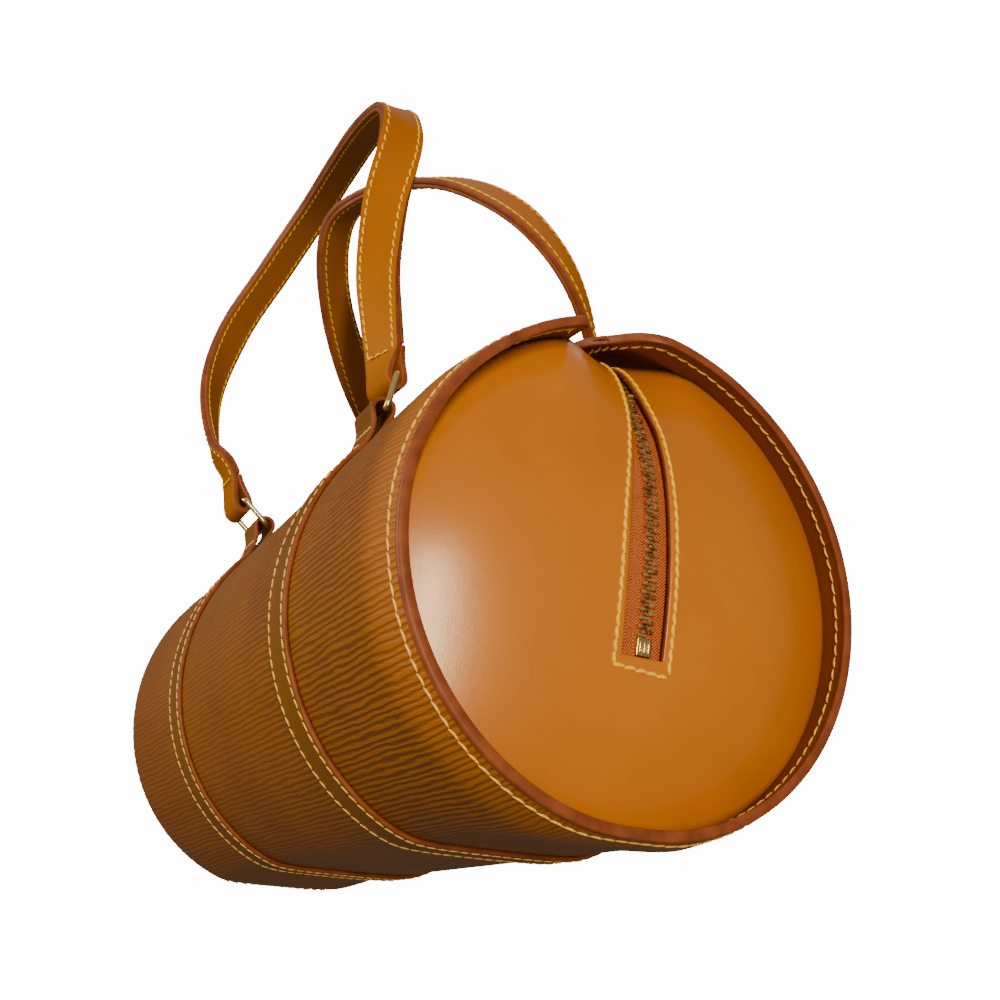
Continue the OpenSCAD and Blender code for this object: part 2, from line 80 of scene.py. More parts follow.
def startMaterial(name, **shader):
    made = bpy.data.materials.new(name)
    made.use_nodes = True
    tree = made.node_tree
    face = tree.nodes["Principled BSDF"]
    for key, value in shader.items():
        face.inputs[key.replace("_", " ")].default_value = value
    return made, tree, face


# Colours a material by a level along a ramp, and embosses it by a height to a depth
def finishSurface(tree, face, level, stops, height, strength, depth):
    tone = addNode(tree, "ShaderNodeValToRGB", links={"Fac": level}, stops=stops)
    relief = addNode(tree, "ShaderNodeBump", links={
        "Strength": strength, "Distance": depth * mm, "Height": height})
    tree.links.new(tone.outputs["Color"], face.inputs["Base Color"])
    tree.links.new(relief.outputs["Normal"], face.inputs["Normal"])


# Grained calf: ridges pressed along the barrel, a little bent, with narrow dark grooves, and a band of
# painted light along the near rim
def grainedLeather():
    look = {
        "ridge": 2.0, "bend": 9, "bendAcross": 5, "bendAlong": 24,
        # The last colour of this row is painted light: the lighter tone laid along the near rim
        "groove": "6C3E04", "side": "844E06", "top": "945C08", "paintedLightTone": "B8720C",
        "patchDark": "ECE6E0", "patchLight": "FFFFFF",
        "flatter": 0.45, "tight": (-20, 125),   # ridges flatter before the first place, full from the second
        "pull": 0.4, "paintedLightAt": (126, 142),      # painted light: a lighter colour near the near rim, where light catches the curled-in leather
        "pore": 0.25, "strength": 0.85, "depth": 0.3,
    }
    made, tree, face = startMaterial("grainedCalf", Roughness=0.46, IOR=1.5, Specular_IOR_Level=0.3)
    place = addNode(tree, "ShaderNodeTexCoord")
    flat = addNode(tree, "ShaderNodeSeparateXYZ", links={"Vector": place.outputs["UV"]})
    stretched = addNode(tree, "ShaderNodeMapping", links={
        "Vector": place.outputs["UV"],
        "Scale": (1 / (look["bendAcross"] * mm), 1 / (look["bendAlong"] * mm), 1)})
    bends = addNode(tree, "ShaderNodeTexNoise", {"noise_dimensions": "2D"}, {
        "Vector": stretched.outputs["Vector"], "Scale": 1, "Detail": 4, "Roughness": 0.6})
    bent = addNode(tree, "ShaderNodeMath", {"operation": "MULTIPLY"}, {
        0: bends.outputs["Fac"], 1: look["bend"]})
    phase = addNode(tree, "ShaderNodeMath", {"operation": "MULTIPLY_ADD"}, {
        0: flat.outputs["X"], 1: 2 * math.pi / (look["ridge"] * mm), 2: bent.outputs["Value"]})
    ridges = addNode(tree, "ShaderNodeMath", {"operation": "SINE"}, {0: phase.outputs["Value"]})
    pores = addNode(tree, "ShaderNodeTexNoise", links={     # 0.9 mm apart
        "Vector": place.outputs["Object"], "Scale": 1100, "Detail": 2})
    patches = addNode(tree, "ShaderNodeTexNoise", links={   # 45 mm apart
        "Vector": place.outputs["Object"], "Scale": 22, "Detail": 2})
    uneven = addNode(tree, "ShaderNodeMath", {"operation": "MULTIPLY_ADD"}, {
        0: bends.outputs["Fac"], 1: 0.8, 2: ridges.outputs["Value"]})
    full = addNode(tree, "ShaderNodeMapRange", {"interpolation_type": "SMOOTHSTEP"}, {
        "Value": uneven.outputs["Value"], "From Min": -0.9, "From Max": 1.3})
    tight = addNode(tree, "ShaderNodeMapRange", {"interpolation_type": "SMOOTHSTEP"}, {
        "Value": flat.outputs["Y"], "From Min": look["tight"][0] * mm, "From Max": look["tight"][1] * mm,
        "To Min": look["flatter"]})
    level = addNode(tree, "ShaderNodeMix", {"data_type": "FLOAT"}, {
        "Factor": tight.outputs["Result"], "A": 0.5, "B": full.outputs["Result"]})
    # Painted light: a share that rises towards the near rim, standing in for the light that the curled-in
    # leather catches there
    pull = addNode(tree, "ShaderNodeMapRange", {"interpolation_type": "SMOOTHSTEP"}, {
        "Value": flat.outputs["Y"], "From Min": look["paintedLightAt"][0] * mm, "From Max": look["paintedLightAt"][1] * mm,
        "To Max": look["pull"]})
    tone = addNode(tree, "ShaderNodeValToRGB", links={"Fac": level.outputs["Result"]}, stops=[
        (0.0, look["groove"]), (0.5, look["side"]), (1.0, look["top"])])
    shade = addNode(tree, "ShaderNodeValToRGB", links={"Fac": patches.outputs["Fac"]}, stops=[
        (0.35, look["patchDark"]), (0.65, look["patchLight"])])
    # Sockets 6, 7 and 2 are the two colours that go into a mix and the one that comes out
    shaded = addNode(tree, "ShaderNodeMix", {"data_type": "RGBA", "blend_type": "MULTIPLY"}, {
        0: 1, 6: tone.outputs["Color"], 7: shade.outputs["Color"]})
    # Painted light: the lit tone is mixed over the grain's colour near the near rim
    withPaintedLight = addNode(tree, "ShaderNodeMix", {"data_type": "RGBA"}, {
        0: pull.outputs["Result"], 6: shaded.outputs[2], 7: linear(look["paintedLightTone"])})
    height = addNode(tree, "ShaderNodeMath", {"operation": "MULTIPLY_ADD"}, {
        0: pores.outputs["Fac"], 1: look["pore"], 2: level.outputs["Result"]})
    relief = addNode(tree, "ShaderNodeBump", links={
        "Strength": look["strength"], "Distance": look["depth"] * mm, "Height": height.outputs["Value"]})
    tree.links.new(withPaintedLight.outputs[2], face.inputs["Base Color"])
    tree.links.new(relief.outputs["Normal"], face.inputs["Normal"])
    return made


# Vegetable-tanned smooth cowhide: satin, with faint pores, 4 mm creases and 70 mm patches
def smoothLeather(name, tone, deep, roughness, gloss=0.25):
    look = {"pore": 0.5, "poreDepth": 0.3, "strength": 0.12, "depth": 0.25}
    made, tree, face = startMaterial(name, Roughness=roughness, IOR=1.48, Specular_IOR_Level=gloss)
    place = addNode(tree, "ShaderNodeTexCoord")
    patches = addNode(tree, "ShaderNodeTexNoise", links={
        "Vector": place.outputs["Object"], "Scale": 14, "Detail": 3, "Roughness": 0.55})
    pores = addNode(tree, "ShaderNodeTexVoronoi", links={
        "Vector": place.outputs["Object"], "Scale": 1 / (look["pore"] * mm)})
    creases = addNode(tree, "ShaderNodeTexNoise", links={
        "Vector": place.outputs["Object"], "Scale": 260, "Detail": 4, "Roughness": 0.6})
    height = addNode(tree, "ShaderNodeMath", {"operation": "MULTIPLY_ADD"}, {
        0: pores.outputs["Distance"], 1: look["poreDepth"], 2: creases.outputs["Fac"]})
    finishSurface(tree, face, patches.outputs["Fac"], [(0.3, deep), (0.7, tone)],
                  height.outputs["Value"], look["strength"], look["depth"])
    return made


# Paint, thread or fibre, whose colour and relief follow one fine noise
def speckled(name, shader, scale, detail, stops, strength, depth):
    made, tree, face = startMaterial(name, **shader)
    place = addNode(tree, "ShaderNodeTexCoord")
    specks = addNode(tree, "ShaderNodeTexNoise", links={
        "Vector": place.outputs["Object"], "Scale": scale, "Detail": detail})
    finishSurface(tree, face, specks.outputs["Fac"], stops, specks.outputs["Fac"], strength, depth)
    return made


# Waxed linen thread: light and slightly fuzzy, with fibres 0.7 mm apart
def waxedThread(name, light, dark):
    return speckled(name, {"Roughness": 0.5, "IOR": 1.5, "Specular_IOR_Level": 0.3}, 1400, 2,
                    [(0.35, dark), (0.6, light)], 0.4, 0.1)


# Polyester zip tape: herringbone ribs that meet in points along the tape
def zipTapeWeave():
    look = {"rib": 0.9, "column": 2.6, "light": "D0743A", "dark": "743414", "strength": 0.8, "depth": 0.25}
    made, tree, face = startMaterial("herringboneTape", Roughness=0.6, IOR=1.5, Specular_IOR_Level=0.3)
    place = addNode(tree, "ShaderNodeTexCoord")
    flat = addNode(tree, "ShaderNodeSeparateXYZ", links={"Vector": place.outputs["UV"]})
    fold = addNode(tree, "ShaderNodeMath", {"operation": "PINGPONG"}, {
        0: flat.outputs["Y"], 1: look["column"] * mm})
    slant = addNode(tree, "ShaderNodeMath", {"operation": "ADD"}, {
        0: flat.outputs["X"], 1: fold.outputs["Value"]})
    turns = addNode(tree, "ShaderNodeMath", {"operation": "MULTIPLY"}, {
        0: slant.outputs["Value"], 1: 2 * math.pi / (look["rib"] * mm)})
    rib = addNode(tree, "ShaderNodeMath", {"operation": "SINE"}, {0: turns.outputs["Value"]})
    yarn = addNode(tree, "ShaderNodeTexNoise", links={      # fibres 0.45 mm apart
        "Vector": place.outputs["Object"], "Scale": 2200, "Detail": 1})
    height = addNode(tree, "ShaderNodeMath", {"operation": "MULTIPLY_ADD"}, {
        0: rib.outputs["Value"], 1: 0.35, 2: yarn.outputs["Fac"]})
    finishSurface(tree, face, height.outputs["Value"], [(0.2, look["dark"]), (0.75, look["light"])],
                  height.outputs["Value"], look["strength"], look["depth"])
    return made


# Plated or bare yellow metal: dull and rougher in its hollows, as old brass is
def yellowMetal(name, bright, dull, roughness, spots):
    look = {"duller": 0.12, "shinier": 0.05, "strength": 0.15, "depth": 0.05}
    made, tree, face = startMaterial(name, Metallic=1, Roughness=roughness)
    place = addNode(tree, "ShaderNodeTexCoord")
    wear = addNode(tree, "ShaderNodeTexNoise", links={
        "Vector": place.outputs["Object"], "Scale": spots, "Detail": 3})
    rough = addNode(tree, "ShaderNodeMapRange", links={
        "Value": wear.outputs["Fac"], "To Min": roughness + look["duller"],
        "To Max": roughness - look["shinier"]})
    tree.links.new(rough.outputs["Result"], face.inputs["Roughness"])
    finishSurface(tree, face, wear.outputs["Fac"], [(0.35, dull), (0.6, bright)],
                  wear.outputs["Fac"], look["strength"], look["depth"])
    return made


# Woven cloth, with its threads drawn 1 mm apart both ways, coarse enough to show
def wovenCloth(name, light, dark):
    made, tree, face = startMaterial(name, Roughness=0.85, Sheen_Weight=0.3)
    place = addNode(tree, "ShaderNodeTexCoord")
    across, up = [addNode(tree, "ShaderNodeTexWave", {"bands_direction": way}, {
        "Vector": place.outputs["Object"], "Scale": 314, "Distortion": 1, "Detail Scale": 2}) for way in "XZ"]
    height = addNode(tree, "ShaderNodeMath", {"operation": "MULTIPLY"}, {
        0: across.outputs["Fac"], 1: up.outputs["Fac"]})
    finishSurface(tree, face, height.outputs["Value"], [(0.1, dark), (0.8, light)],
                  height.outputs["Value"], 0.4, 0.2)
    return made


wrapLeather = grainedLeather()
endLeather = smoothLeather("satinCowhide", "BE7600", "AE6800", 0.25, 0.65)
facingLeather = smoothLeather("brownCowhide", "8A5430", "724224", 0.5)
bandLeather = smoothLeather("oliveCowhide", "7C5006", "684002", 0.45)
strapLeather = smoothLeather("strapCowhide", "A66600", "945A00", 0.5, 0.06)
liningLeather = smoothLeather("strapLiningCowhide", "9C6200", "885400", 0.5, 0.12)
# Burnished edge paint: dark red-brown, half matt, a little uneven over 6 mm
paint = speckled("edgePaint", {"Roughness": 0.45, "IOR": 1.5, "Specular_IOR_Level": 0.3}, 160, 3,
                 [(0.3, "6C3820"), (0.7, "8A4C30")], 0.35, 0.3)
yellowThread = waxedThread("yellowLinenThread", "FFD818", "F0B400")
creamThread = waxedThread("creamLinenThread", "FADA78", "EAB040")
tapeWeave = zipTapeWeave()
agedBrass = yellowMetal("agedBrass", "E6C890", "9A7440", 0.3, 420)          # spots 2.4 mm apart
paleGold = yellowMetal("paleGoldPlate", "F0E2A8", "CDB070", 0.2, 90)        # and 11 mm apart
liningCloth = wovenCloth("brownTwill", "7A5632", "553A20")
pocketCloth = wovenCloth("pocketCotton", "8A6640", "62462A")
# Pressed fibre sheet: pale and matt, with dark fibres 1.4 mm apart
stiffSheet = speckled("pressedFibre", {"Roughness": 0.85}, 700, 4,
                      [(0.3, "B09A74"), (0.7, "D6C6A2")], 0.2, 0.1)
print("stage: materials made")


def finishPiece(name, build, skins, body, sharp=40):
    mesh = bpy.data.meshes.new(name)
    bmesh.ops.translate(build, verts=build.verts, vec=(0, axisY, 0))
    build.to_mesh(mesh)
    build.free()
    for skin in skins:
        mesh.materials.append(skin)
    mesh.polygons.foreach_set("use_smooth", [True] * len(mesh.polygons))
    mesh.set_sharp_from_angle(angle=math.radians(sharp))
    piece = bpy.data.objects.new(name, mesh)
    scene.collection.objects.link(piece)
    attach(piece, body)
    return piece


# Points of a sheet nearer than "weld" are one, and edges shorter than "sliver" go
sheetRule = {"weld": 0.002, "sliver": 0.02, "edgeCuts": 2, "edgeAngle": 50}


# A grid whose points are put in place by a function of two shares, with its UV in metres
def bendSheet(name, cuts, place, size, body, skins, thick=0, offset=-1, rounded=0, lay=None):
    build = bmesh.new()
    build.loops.layers.uv.new("sheet")
    bmesh.ops.create_grid(build, x_segments=cuts[0], y_segments=cuts[1], size=0.5, calc_uvs=True)
    sheet = build.loops.layers.uv.active
    for face in build.faces:
        for corner in face.loops:
            s, t = corner.vert.co.x + 0.5, corner.vert.co.y + 0.5
            flat = lay(s, t) if lay else (s * size[0], t * size[1])
            corner[sheet].uv = (flat[0] * mm, flat[1] * mm)
    for vert in build.verts:
        vert.co = Vector(place(vert.co.x + 0.5, vert.co.y + 0.5)) * mm
    bmesh.ops.remove_doubles(build, verts=build.verts, dist=sheetRule["weld"] * mm)
    bmesh.ops.dissolve_degenerate(build, edges=build.edges, dist=sheetRule["sliver"] * mm)
    middle = Vector((0, 0, barrel["axisHeight"])) * mm
    if sum(f.normal.dot(f.calc_center_median() - middle) * f.calc_area() for f in build.faces) < 0:
        bmesh.ops.reverse_faces(build, faces=build.faces)
    piece = finishPiece(name, build, skins, body)
    if thick:
        wall = piece.modifiers.new("thickness", "SOLIDIFY")
        wall.thickness = thick * mm
        wall.offset = offset
        wall.use_quality_normals = True
        wall.material_offset = len(skins) - 2 if len(skins) > 2 else 0
        wall.material_offset_rim = len(skins) - 1
    if rounded:
        soft = piece.modifiers.new("roundedEdge", "BEVEL")
        soft.width = rounded * mm
        soft.segments = sheetRule["edgeCuts"]
        soft.limit_method = "ANGLE"
        soft.angle_limit = math.radians(sheetRule["edgeAngle"])
    return piece


# Even places along a row of (point, outward way), each with the way along the row
def evenPlaces(row, pitch):
    found = []
    walked = 0
    target = pitch / 2
    for (a, outA), (b, outB) in zip(row, row[1:]):
        step = (b - a).length
        while step > 0 and walked + step >= target:
            share = (target - walked) / step
            found.append((a.lerp(b, share), outA.lerp(outB, share).normalized(), (b - a).normalized()))
            target += pitch
        walked += step
    return found


# A stitch is a bent bead of thread, half sunk, a little aslant and never quite like the next one
bead = {"around": 6, "rings": 7, "flat": 0.8, "turnSpread": 3, "lengthSpread": (0.96, 1.03)}
zipSeam = {"pitch": 3.3, "length": 3.6, "girth": 1.25, "slant": 7, "bow": 0.16}


def sewRows(name, rows, thread, body, pitch, length, girth, slant=9, bow=0.22):
    one = bmesh.new()
    bmesh.ops.create_uvsphere(one, u_segments=bead["around"], v_segments=bead["rings"], radius=0.5)
    sample = bpy.data.meshes.new("beadOf" + name)
    one.to_mesh(sample)
    one.free()
    build = bmesh.new()
    for row in rows:
        for spot, out, along in evenPlaces(row, pitch):
            along = (along - out * along.dot(out)).normalized()
            aslant = slant + shake.uniform(-bead["turnSpread"], bead["turnSpread"])
            turn = Matrix.Rotation(math.radians(aslant), 3, out)
            side, through = turn @ out.cross(along), out * girth * bead["flat"]
            forward = turn @ along * length * shake.uniform(*bead["lengthSpread"])
            before = len(build.verts)
            build.from_mesh(sample)
            build.verts.ensure_lookup_table()
            for vert in build.verts[before:]:
                local = vert.co
                aside = local.x * girth + bow * (1 - 8 * local.z * local.z)
                vert.co = (spot + side * aside + through * local.y + forward * local.z) * mm
    bpy.data.meshes.remove(sample)
    return finishPiece(name, build, [thread], body, 180)


def eased(value):
    value = min(max(value, 0), 1)
    return value * value * (3 - 2 * value)


# A smooth curve's point between b and c, with a before and d after them
def between(a, b, c, d, t):
    return (b * 2 + (c - a) * t + (a * 2 - b * 5 + c * 4 - d) * t ** 2 + (b * 3 - a - c * 3 + d) * t ** 3) / 2


def curveThrough(points, steps):
    ends = [points[0] * 2 - points[1]] + list(points) + [points[-1] * 2 - points[-2]]
    found = [between(*ends[i - 1:i + 3], k / steps) for i in range(1, len(ends) - 2) for k in range(steps)]
    return found + [ends[-2]]


# Value between the places of a table, along straight lines
def tableValue(table, at, column=1):
    for low, high in zip(table, table[1:]):
        if at <= high[0]:
            share = min(max((at - low[0]) / (high[0] - low[0]), 0), 1)
            return low[column] + (high[column] - low[column]) * share
    return table[-1][column]


def runningLengths(points):
    lengths = [0]
    for a, b in zip(points, points[1:]):
        lengths.append(lengths[-1] + (b - a).length)
    return lengths


# The step of a line that a distance along it falls in, and the share of that step
def stepAt(lengths, distance):
    i = bisect_right(lengths, distance, 1, len(lengths) - 1) - 1
    step = lengths[i + 1] - lengths[i]
    return i, (distance - lengths[i]) / step if step else 0


barrel = {
    "halfLength": 150, "radius": 75, "axisHeight": 72.3,
    "wrapThickness": 1.5, "layerGap": 0.1, "facingThickness": 1.2,
    "rimLength": 18, "farRimLength": 8, "rimCurl": 2.6,         # how the rims turn in
    "farSwell": 1.7, "swellStart": 88, "swellRun": 50,          # and how the far one swells before it
    "bandSeat": 2.3, "softFlat": 6, "flatHalfLength": 96, "flatRun": 40,    # the flat that the bag rests on
}
roundLength = 2 * math.pi * barrel["radius"]


# Place on the barrel at an arc length from the top (left side first), under its outside by depth
def onBarrel(arc, x, depth):
    along = abs(x)
    reach = barrel["radius"] - depth
    curled = barrel["rimLength"] if x > 0 else barrel["farRimLength"]
    reach += barrel["farSwell"] * eased((-x - barrel["swellStart"]) / barrel["swellRun"])
    past = (along - barrel["halfLength"] + curled) / curled
    if past > 0:
        reach -= barrel["rimCurl"] * past ** 1.5
    angle = arc / barrel["radius"]
    y = -reach * math.sin(angle)
    z = barrel["axisHeight"] + reach * math.cos(angle)
    flatness = 1 - eased((along - barrel["flatHalfLength"]) / barrel["flatRun"])
    seat = barrel["bandSeat"] * flatness
    gap = z - seat - depth
    soft = 1 + barrel["softFlat"] * flatness
    return Vector((x, y, seat + depth + (gap + math.sqrt(gap * gap + soft)) / 2))


flap = {
    "openingHalf": 12, "driftStart": 60,
    "leftDrift": 8, "leftRun": 75,              # the left edge moves out towards the near rim
    "rightDrift": 20, "rightRun": 65,           # and the right one moves in over the zip
    "corners": {1: ((5, 5), (18, 25)), -1: ((13, 13), (13, 13))},   # width and length at each end
    "looseStart": 118, "looseRun": 32, "looseFade": 45,     # at the near end the flaps stand proud
    "leftProud": 1.4, "leftArc": 60, "rightProud": 0.6, "rightArc": 50,
    "bridge": 5.6, "bridgeStart": 52, "bridgeRise": 30,     # the right flap rises to clear the slider
    "bridgeEnd": 116, "bridgeFall": 26, "bridgeArc": 32, "bridgeFade": 26,
}


# Arcs of the left and right edges beside the zip
def wrapEdges(x):
    drifted = x - flap["driftStart"]
    return (flap["openingHalf"] + flap["leftDrift"] * eased(drifted / flap["leftRun"]),
            roundLength - flap["openingHalf"] + flap["rightDrift"] * eased(drifted / flap["rightRun"]))


def arcAcross(share, x):
    left, right = wrapEdges(x)
    return left + share * (right - left)


# How far a flap's corner is cut back from the rim, at a distance from its edge beside the zip
def cornerCut(distance, width, length):
    if distance >= width:
        return 0
    return length * (1 - math.sqrt(max(0, 1 - ((width - distance) / width) ** 2)))


def rimAt(arc, end):
    left, right = wrapEdges(end * barrel["halfLength"])
    leftCorner, rightCorner = flap["corners"][end]
    return end * (barrel["halfLength"] - cornerCut(arc - left, *leftCorner)
                  - cornerCut(right - arc, *rightCorner))


# Place on the wrap, with its flaps lifted
def onWrap(arc, x, depth):
    fromRight = arc - roundLength
    loose = eased((x - flap["looseStart"]) / flap["looseRun"])
    proud = flap["leftProud"] * eased((flap["leftArc"] - arc) / flap["looseFade"]) \
        + flap["rightProud"] * eased((fromRight + flap["rightArc"]) / flap["looseFade"])
    bridge = flap["bridge"] * eased((x - flap["bridgeStart"]) / flap["bridgeRise"]) \
        * (1 - eased((x - flap["bridgeEnd"]) / flap["bridgeFall"])) \
        * eased((fromRight + flap["bridgeArc"]) / flap["bridgeFade"])
    return onBarrel(arc, x, depth - (bridge + loose * proud))


def wrapSkinOut(arc, x):
    return (onWrap(arc, x, 0) - onWrap(arc, x, 1)).normalized()


# Shares across the sheet crowd towards its edges, where the corners are round
def crowded(share, power=1.6):
    centred = 2 * share - 1
    return (1 + math.copysign(1 - (1 - abs(centred)) ** power, centred)) / 2


# The wrap laid flat: arc round the barrel and place along it
def wrapFlat(s, t):
    s, t = crowded(s), crowded(t, 1.3)
    near = rimAt(arcAcross(s, barrel["halfLength"]), 1)
    far = rimAt(arcAcross(s, -barrel["halfLength"]), -1)
    x = far + t * (near - far)
    return arcAcross(s, x), x


def wrapPlace(s, t):
    return onWrap(*wrapFlat(s, t), 0)


bodyWrap = bendSheet("bodyWrap", (300, 110), wrapPlace, (roundLength, 300), "bag",
                     [wrapLeather, facingLeather, paint], barrel["wrapThickness"], lay=wrapFlat)
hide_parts("body_wrap")
print("stage: wrap made")

# The painted edge runs in beside the zip: on the left from "start" to "leftEnd" from the middle, and on
# the right from "rightBegin" back to "start"
rim = {
    "start": 118, "leftEnd": 144, "rightBegin": 124, "sideSteps": 24, "endSteps": 400, "crowd": 2.2,
    "beadWidth": 3.1, "beadReach": 1.0, "beadSunk": 0.35, "flatReach": 0.55, "flatWidth": 0.6,
    "cuts": (620, 14), "stitchIn": 4.1, "skip": 22, "innerDepth": 2.8,
    "seam": {"pitch": 3.8, "length": 3.9, "girth": 0.84},
}
overSkin = 0.05     # how far rows of stitches run over the leather


# The wrap's outline at an end as (arc, x) places, from beside the zip on the left to the right
def endOutline(end):
    rows = []
    steps, start = rim["sideSteps"], rim["start"]
    for k in range(steps):
        x = end * (start + (rim["leftEnd"] - start) * k / steps)
        rows.append(Vector((wrapEdges(x)[0], x)))
    for k in range(rim["endSteps"] + 1):
        arc = arcAcross(crowded(k / rim["endSteps"], rim["crowd"]), end * barrel["halfLength"])
        rows.append(Vector((arc, rimAt(arc, end))))
    for k in range(steps):
        x = end * (rim["rightBegin"] - (rim["rightBegin"] - start) * k / (steps - 1))
        rows.append(Vector((wrapEdges(x)[1], x)))
    return rows


# The way along a line at a place, from some places before it to some after it
def wayAt(line, i, before, after):
    return line[min(i + after, len(line) - 1)] - line[max(i - before, 0)]


# An outline moved in from the edge, as a row of stitches runs
def inset(outline, distance, end, skip):
    moved = []
    for i in range(skip, len(outline) - skip):
        way = wayAt(outline, i, 2, 2)
        if way.length > 1e-6:
            way.normalize()
            moved.append(outline[i] + Vector((way.y, -way.x)) * distance * end)
    return moved


# The painted edge: a squarish bead along the outline, over the wrap and its facing
def rimBead(name, end):
    outline = endOutline(end)
    middle = (barrel["wrapThickness"] + barrel["layerGap"] + barrel["facingThickness"]) / 2
    lengths = runningLengths(outline)

    def squarish(value, power):
        return math.copysign(abs(value) ** power, value)

    def place(s, t):
        i, share = stepAt(lengths, s * lengths[-1])
        way = wayAt(outline, i, 2, 3).normalized()
        turn = 2 * math.pi * t
        across = squarish(math.cos(turn), rim["flatReach"]) * rim["beadReach"]
        through = squarish(math.sin(turn), rim["flatWidth"]) * rim["beadWidth"] / 2
        spot = outline[i].lerp(outline[i + 1], share)
        spot = spot + Vector((-way.y, way.x)) * end * (across - rim["beadSunk"])
        return onWrap(spot.x, spot.y, middle + through)

    made = bendSheet(name, rim["cuts"], place, (lengths[-1], 10), "bag", [paint])
    return outline


nearOutline = rimBead("nearRimPaint", 1)
farOutline = rimBead("farRimPaint", -1)
print("stage: rims painted")

dome = {"radius": 175, "centreX": -20.4, "thickness": 1.5, "depth": 1.6, "roundHalf": 26,
        "turned": 3.2, "turnedBack": 3.5, "turnedPower": 2.5}
# How far the dome falls back where it rounds over to the top beside the zip: (height, fall) places
topRound = ((-80, 0), (22, 0), (31, 0.3), (40, 1.0), (48, 2.4), (56, 4.2), (62, 6), (67, 8.5), (70, 11),
            (72, 14), (73.4, 19))


def domePoint(y, z, end):
    beside = 1 - eased(abs(y) / dome["roundHalf"])
    x = dome["centreX"] + math.sqrt(dome["radius"] ** 2 - y * y - z * z)
    turned = max(math.hypot(y, z) - barrel["radius"] + dome["depth"] + dome["turned"], 0) / dome["turned"]
    x -= dome["turnedBack"] * turned ** dome["turnedPower"] * (1 - beside)
    return Vector((end * (x - tableValue(topRound, z) * beside), y, barrel["axisHeight"] + z))


def domeOut(y, z, end):
    a, b, c = domePoint(y, z, end), domePoint(y + 0.5, z, end), domePoint(y, z - 0.5, end)
    return ((b - a).cross(a - c)).normalized() * end


# A place on a row of stitches over the dome, with the way out
def overDome(y, z, end):
    return domePoint(y, z, end) + domeOut(y, z, end) * overSkin, domeOut(y, z, end)


def makeFacing(name, end, node):
    inner = 137

    def place(s, t):
        s = crowded(s)
        x = end * inner + t * (rimAt(arcAcross(s, end * barrel["halfLength"]), end) - end * inner)
        return onWrap(arcAcross(s, x), x, dome["depth"])

    made = bendSheet(name, (240, 14), place, (roundLength, 24), "bag", [facingLeather, paint],
                     barrel["facingThickness"])
    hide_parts(node)


makeFacing("nearRimFacing", 1, "near_rim_facing")
makeFacing("farRimFacing", -1, "far_rim_facing")

# The slot's left and right edge and the chain's middle at a height over the axis
zipSlot = ((-26.6, -8.8, 4.0, -1.1), (-15, -8.6, 4.4, -0.7), (-5, -8.2, 4.8, -0.1), (6, -7.7, 5.0, 0.4),
           (17, -6.9, 5.1, 0.7), (27, -5.8, 5.0, 0.7), (37, -4.6, 4.7, 0.4), (45, -3.5, 4.0, 0.1),
           (52, -2.7, 2.9, -0.1), (62, -1.9, 1.7, -0.2), (74, -1.5, 1.3, -0.2))
slotBottom = zipSlot[0][0]


def slotEdge(z, side):
    smooth = [tableValue(zipSlot, z + step, 1 if side < 0 else 2) for step in (-4, -2, 0, 2, 4)]
    return sum(smooth) / 5


# An end's leather, board and cloth: round edge, depth behind the leather, and half width and bottom of
# the gap for the zip, where no half means the slot's own edges
ends = {
    "EndPanel": {"edge": barrel["radius"] - dome["depth"] - 0.15, "depth": 0, "thick": dome["thickness"],
                 "skins": [endLeather, paint], "slot": "smooth_leather", "cuts": (240, 48),
                 "half": None, "bottom": slotBottom},
    "EndBoard": {"edge": 58, "depth": 1.8, "thick": 1.1, "skins": [stiffSheet], "slot": "stiffener",
                 "cuts": (90, 16), "half": 15, "bottom": -30},
    "EndLining": {"edge": 62, "depth": 3.2, "thick": 0.6, "skins": [liningCloth], "slot": "lining_cloth",
                  "cuts": (90, 16), "half": 14.5, "bottom": -30},
}


# The grid's way down: a share of it beside the slot, and the rest under the slot's bottom
endGrid = {"beside": 0.9, "under": 0.1, "topGap": 0.8, "firstTurn": 1, "turns": 179, "power": 0.9,
           "floor": 2.2}


# A layer of an end, from the slot's edges out to its round edge
def endLayer(name, end, node, facts):
    edge, depth, top = facts["edge"], facts["depth"], facts["edge"] - endGrid["topGap"]
    beside, slotName = endGrid["beside"], facts["slot"]

    def slotSide(z, side):
        return side * facts["half"] if facts["half"] else slotEdge(z, side)

    def place(s, t):
        around = (s - 0.5) * 2                      # -1 at the slot's left top, 1 at its right top
        side = -1 if around < 0 else 1
        way = 1 - abs(around)                       # 0 at the top, 1 at the bottom
        turn = math.radians(endGrid["firstTurn"] + endGrid["turns"] * way ** endGrid["power"])
        outer = Vector((side * edge * math.sin(turn), edge * math.cos(turn)))
        z = top + (facts["bottom"] - top) * min(way / beside, 1)
        inner = slotSide(z, side)
        if way > beside:
            middle = (slotSide(z, -1) + slotSide(z, 1)) / 2
            inner += (middle - inner) * (way - beside) / endGrid["under"]
        spot = Vector((inner, z)).lerp(outer, t)
        if spot.length > edge:
            spot *= edge / spot.length
        spot.y = max(spot.y, endGrid["floor"] + depth - barrel["axisHeight"])
        return domePoint(spot.x, spot.y, end) - domeOut(spot.x, spot.y, end) * depth

    made = bendSheet(name, facts["cuts"], place, (500, 75), "bag", facts["skins"], facts["thick"])
    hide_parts(node)


for side, end in (("near", 1), ("far", -1)):
    for part, node in (("EndPanel", "_end_panel"), ("EndBoard", "_end_board"), ("EndLining", "_end_lining")):
        endLayer(side + part, end, side + node, ends[part])
print("stage: ends made")

zipLine = {
    "depth": 3.0, "bottom": -29, "top": 70, "topRadius": 71.5, "steps": 100,
    "straightFrom": 112, "corner": (121.5, -0.3), "cornerFrom": 5, "cornerSteps": 10,
    "pitch": 2.35, "stop": 5, "firstTooth": 3.6, "lastTooth": 3, "stopAt": 5.4,
    "tapeGap": 0.3, "tapeWidth": 11, "tapeUnder": 0.2, "tape": 0.6,
}


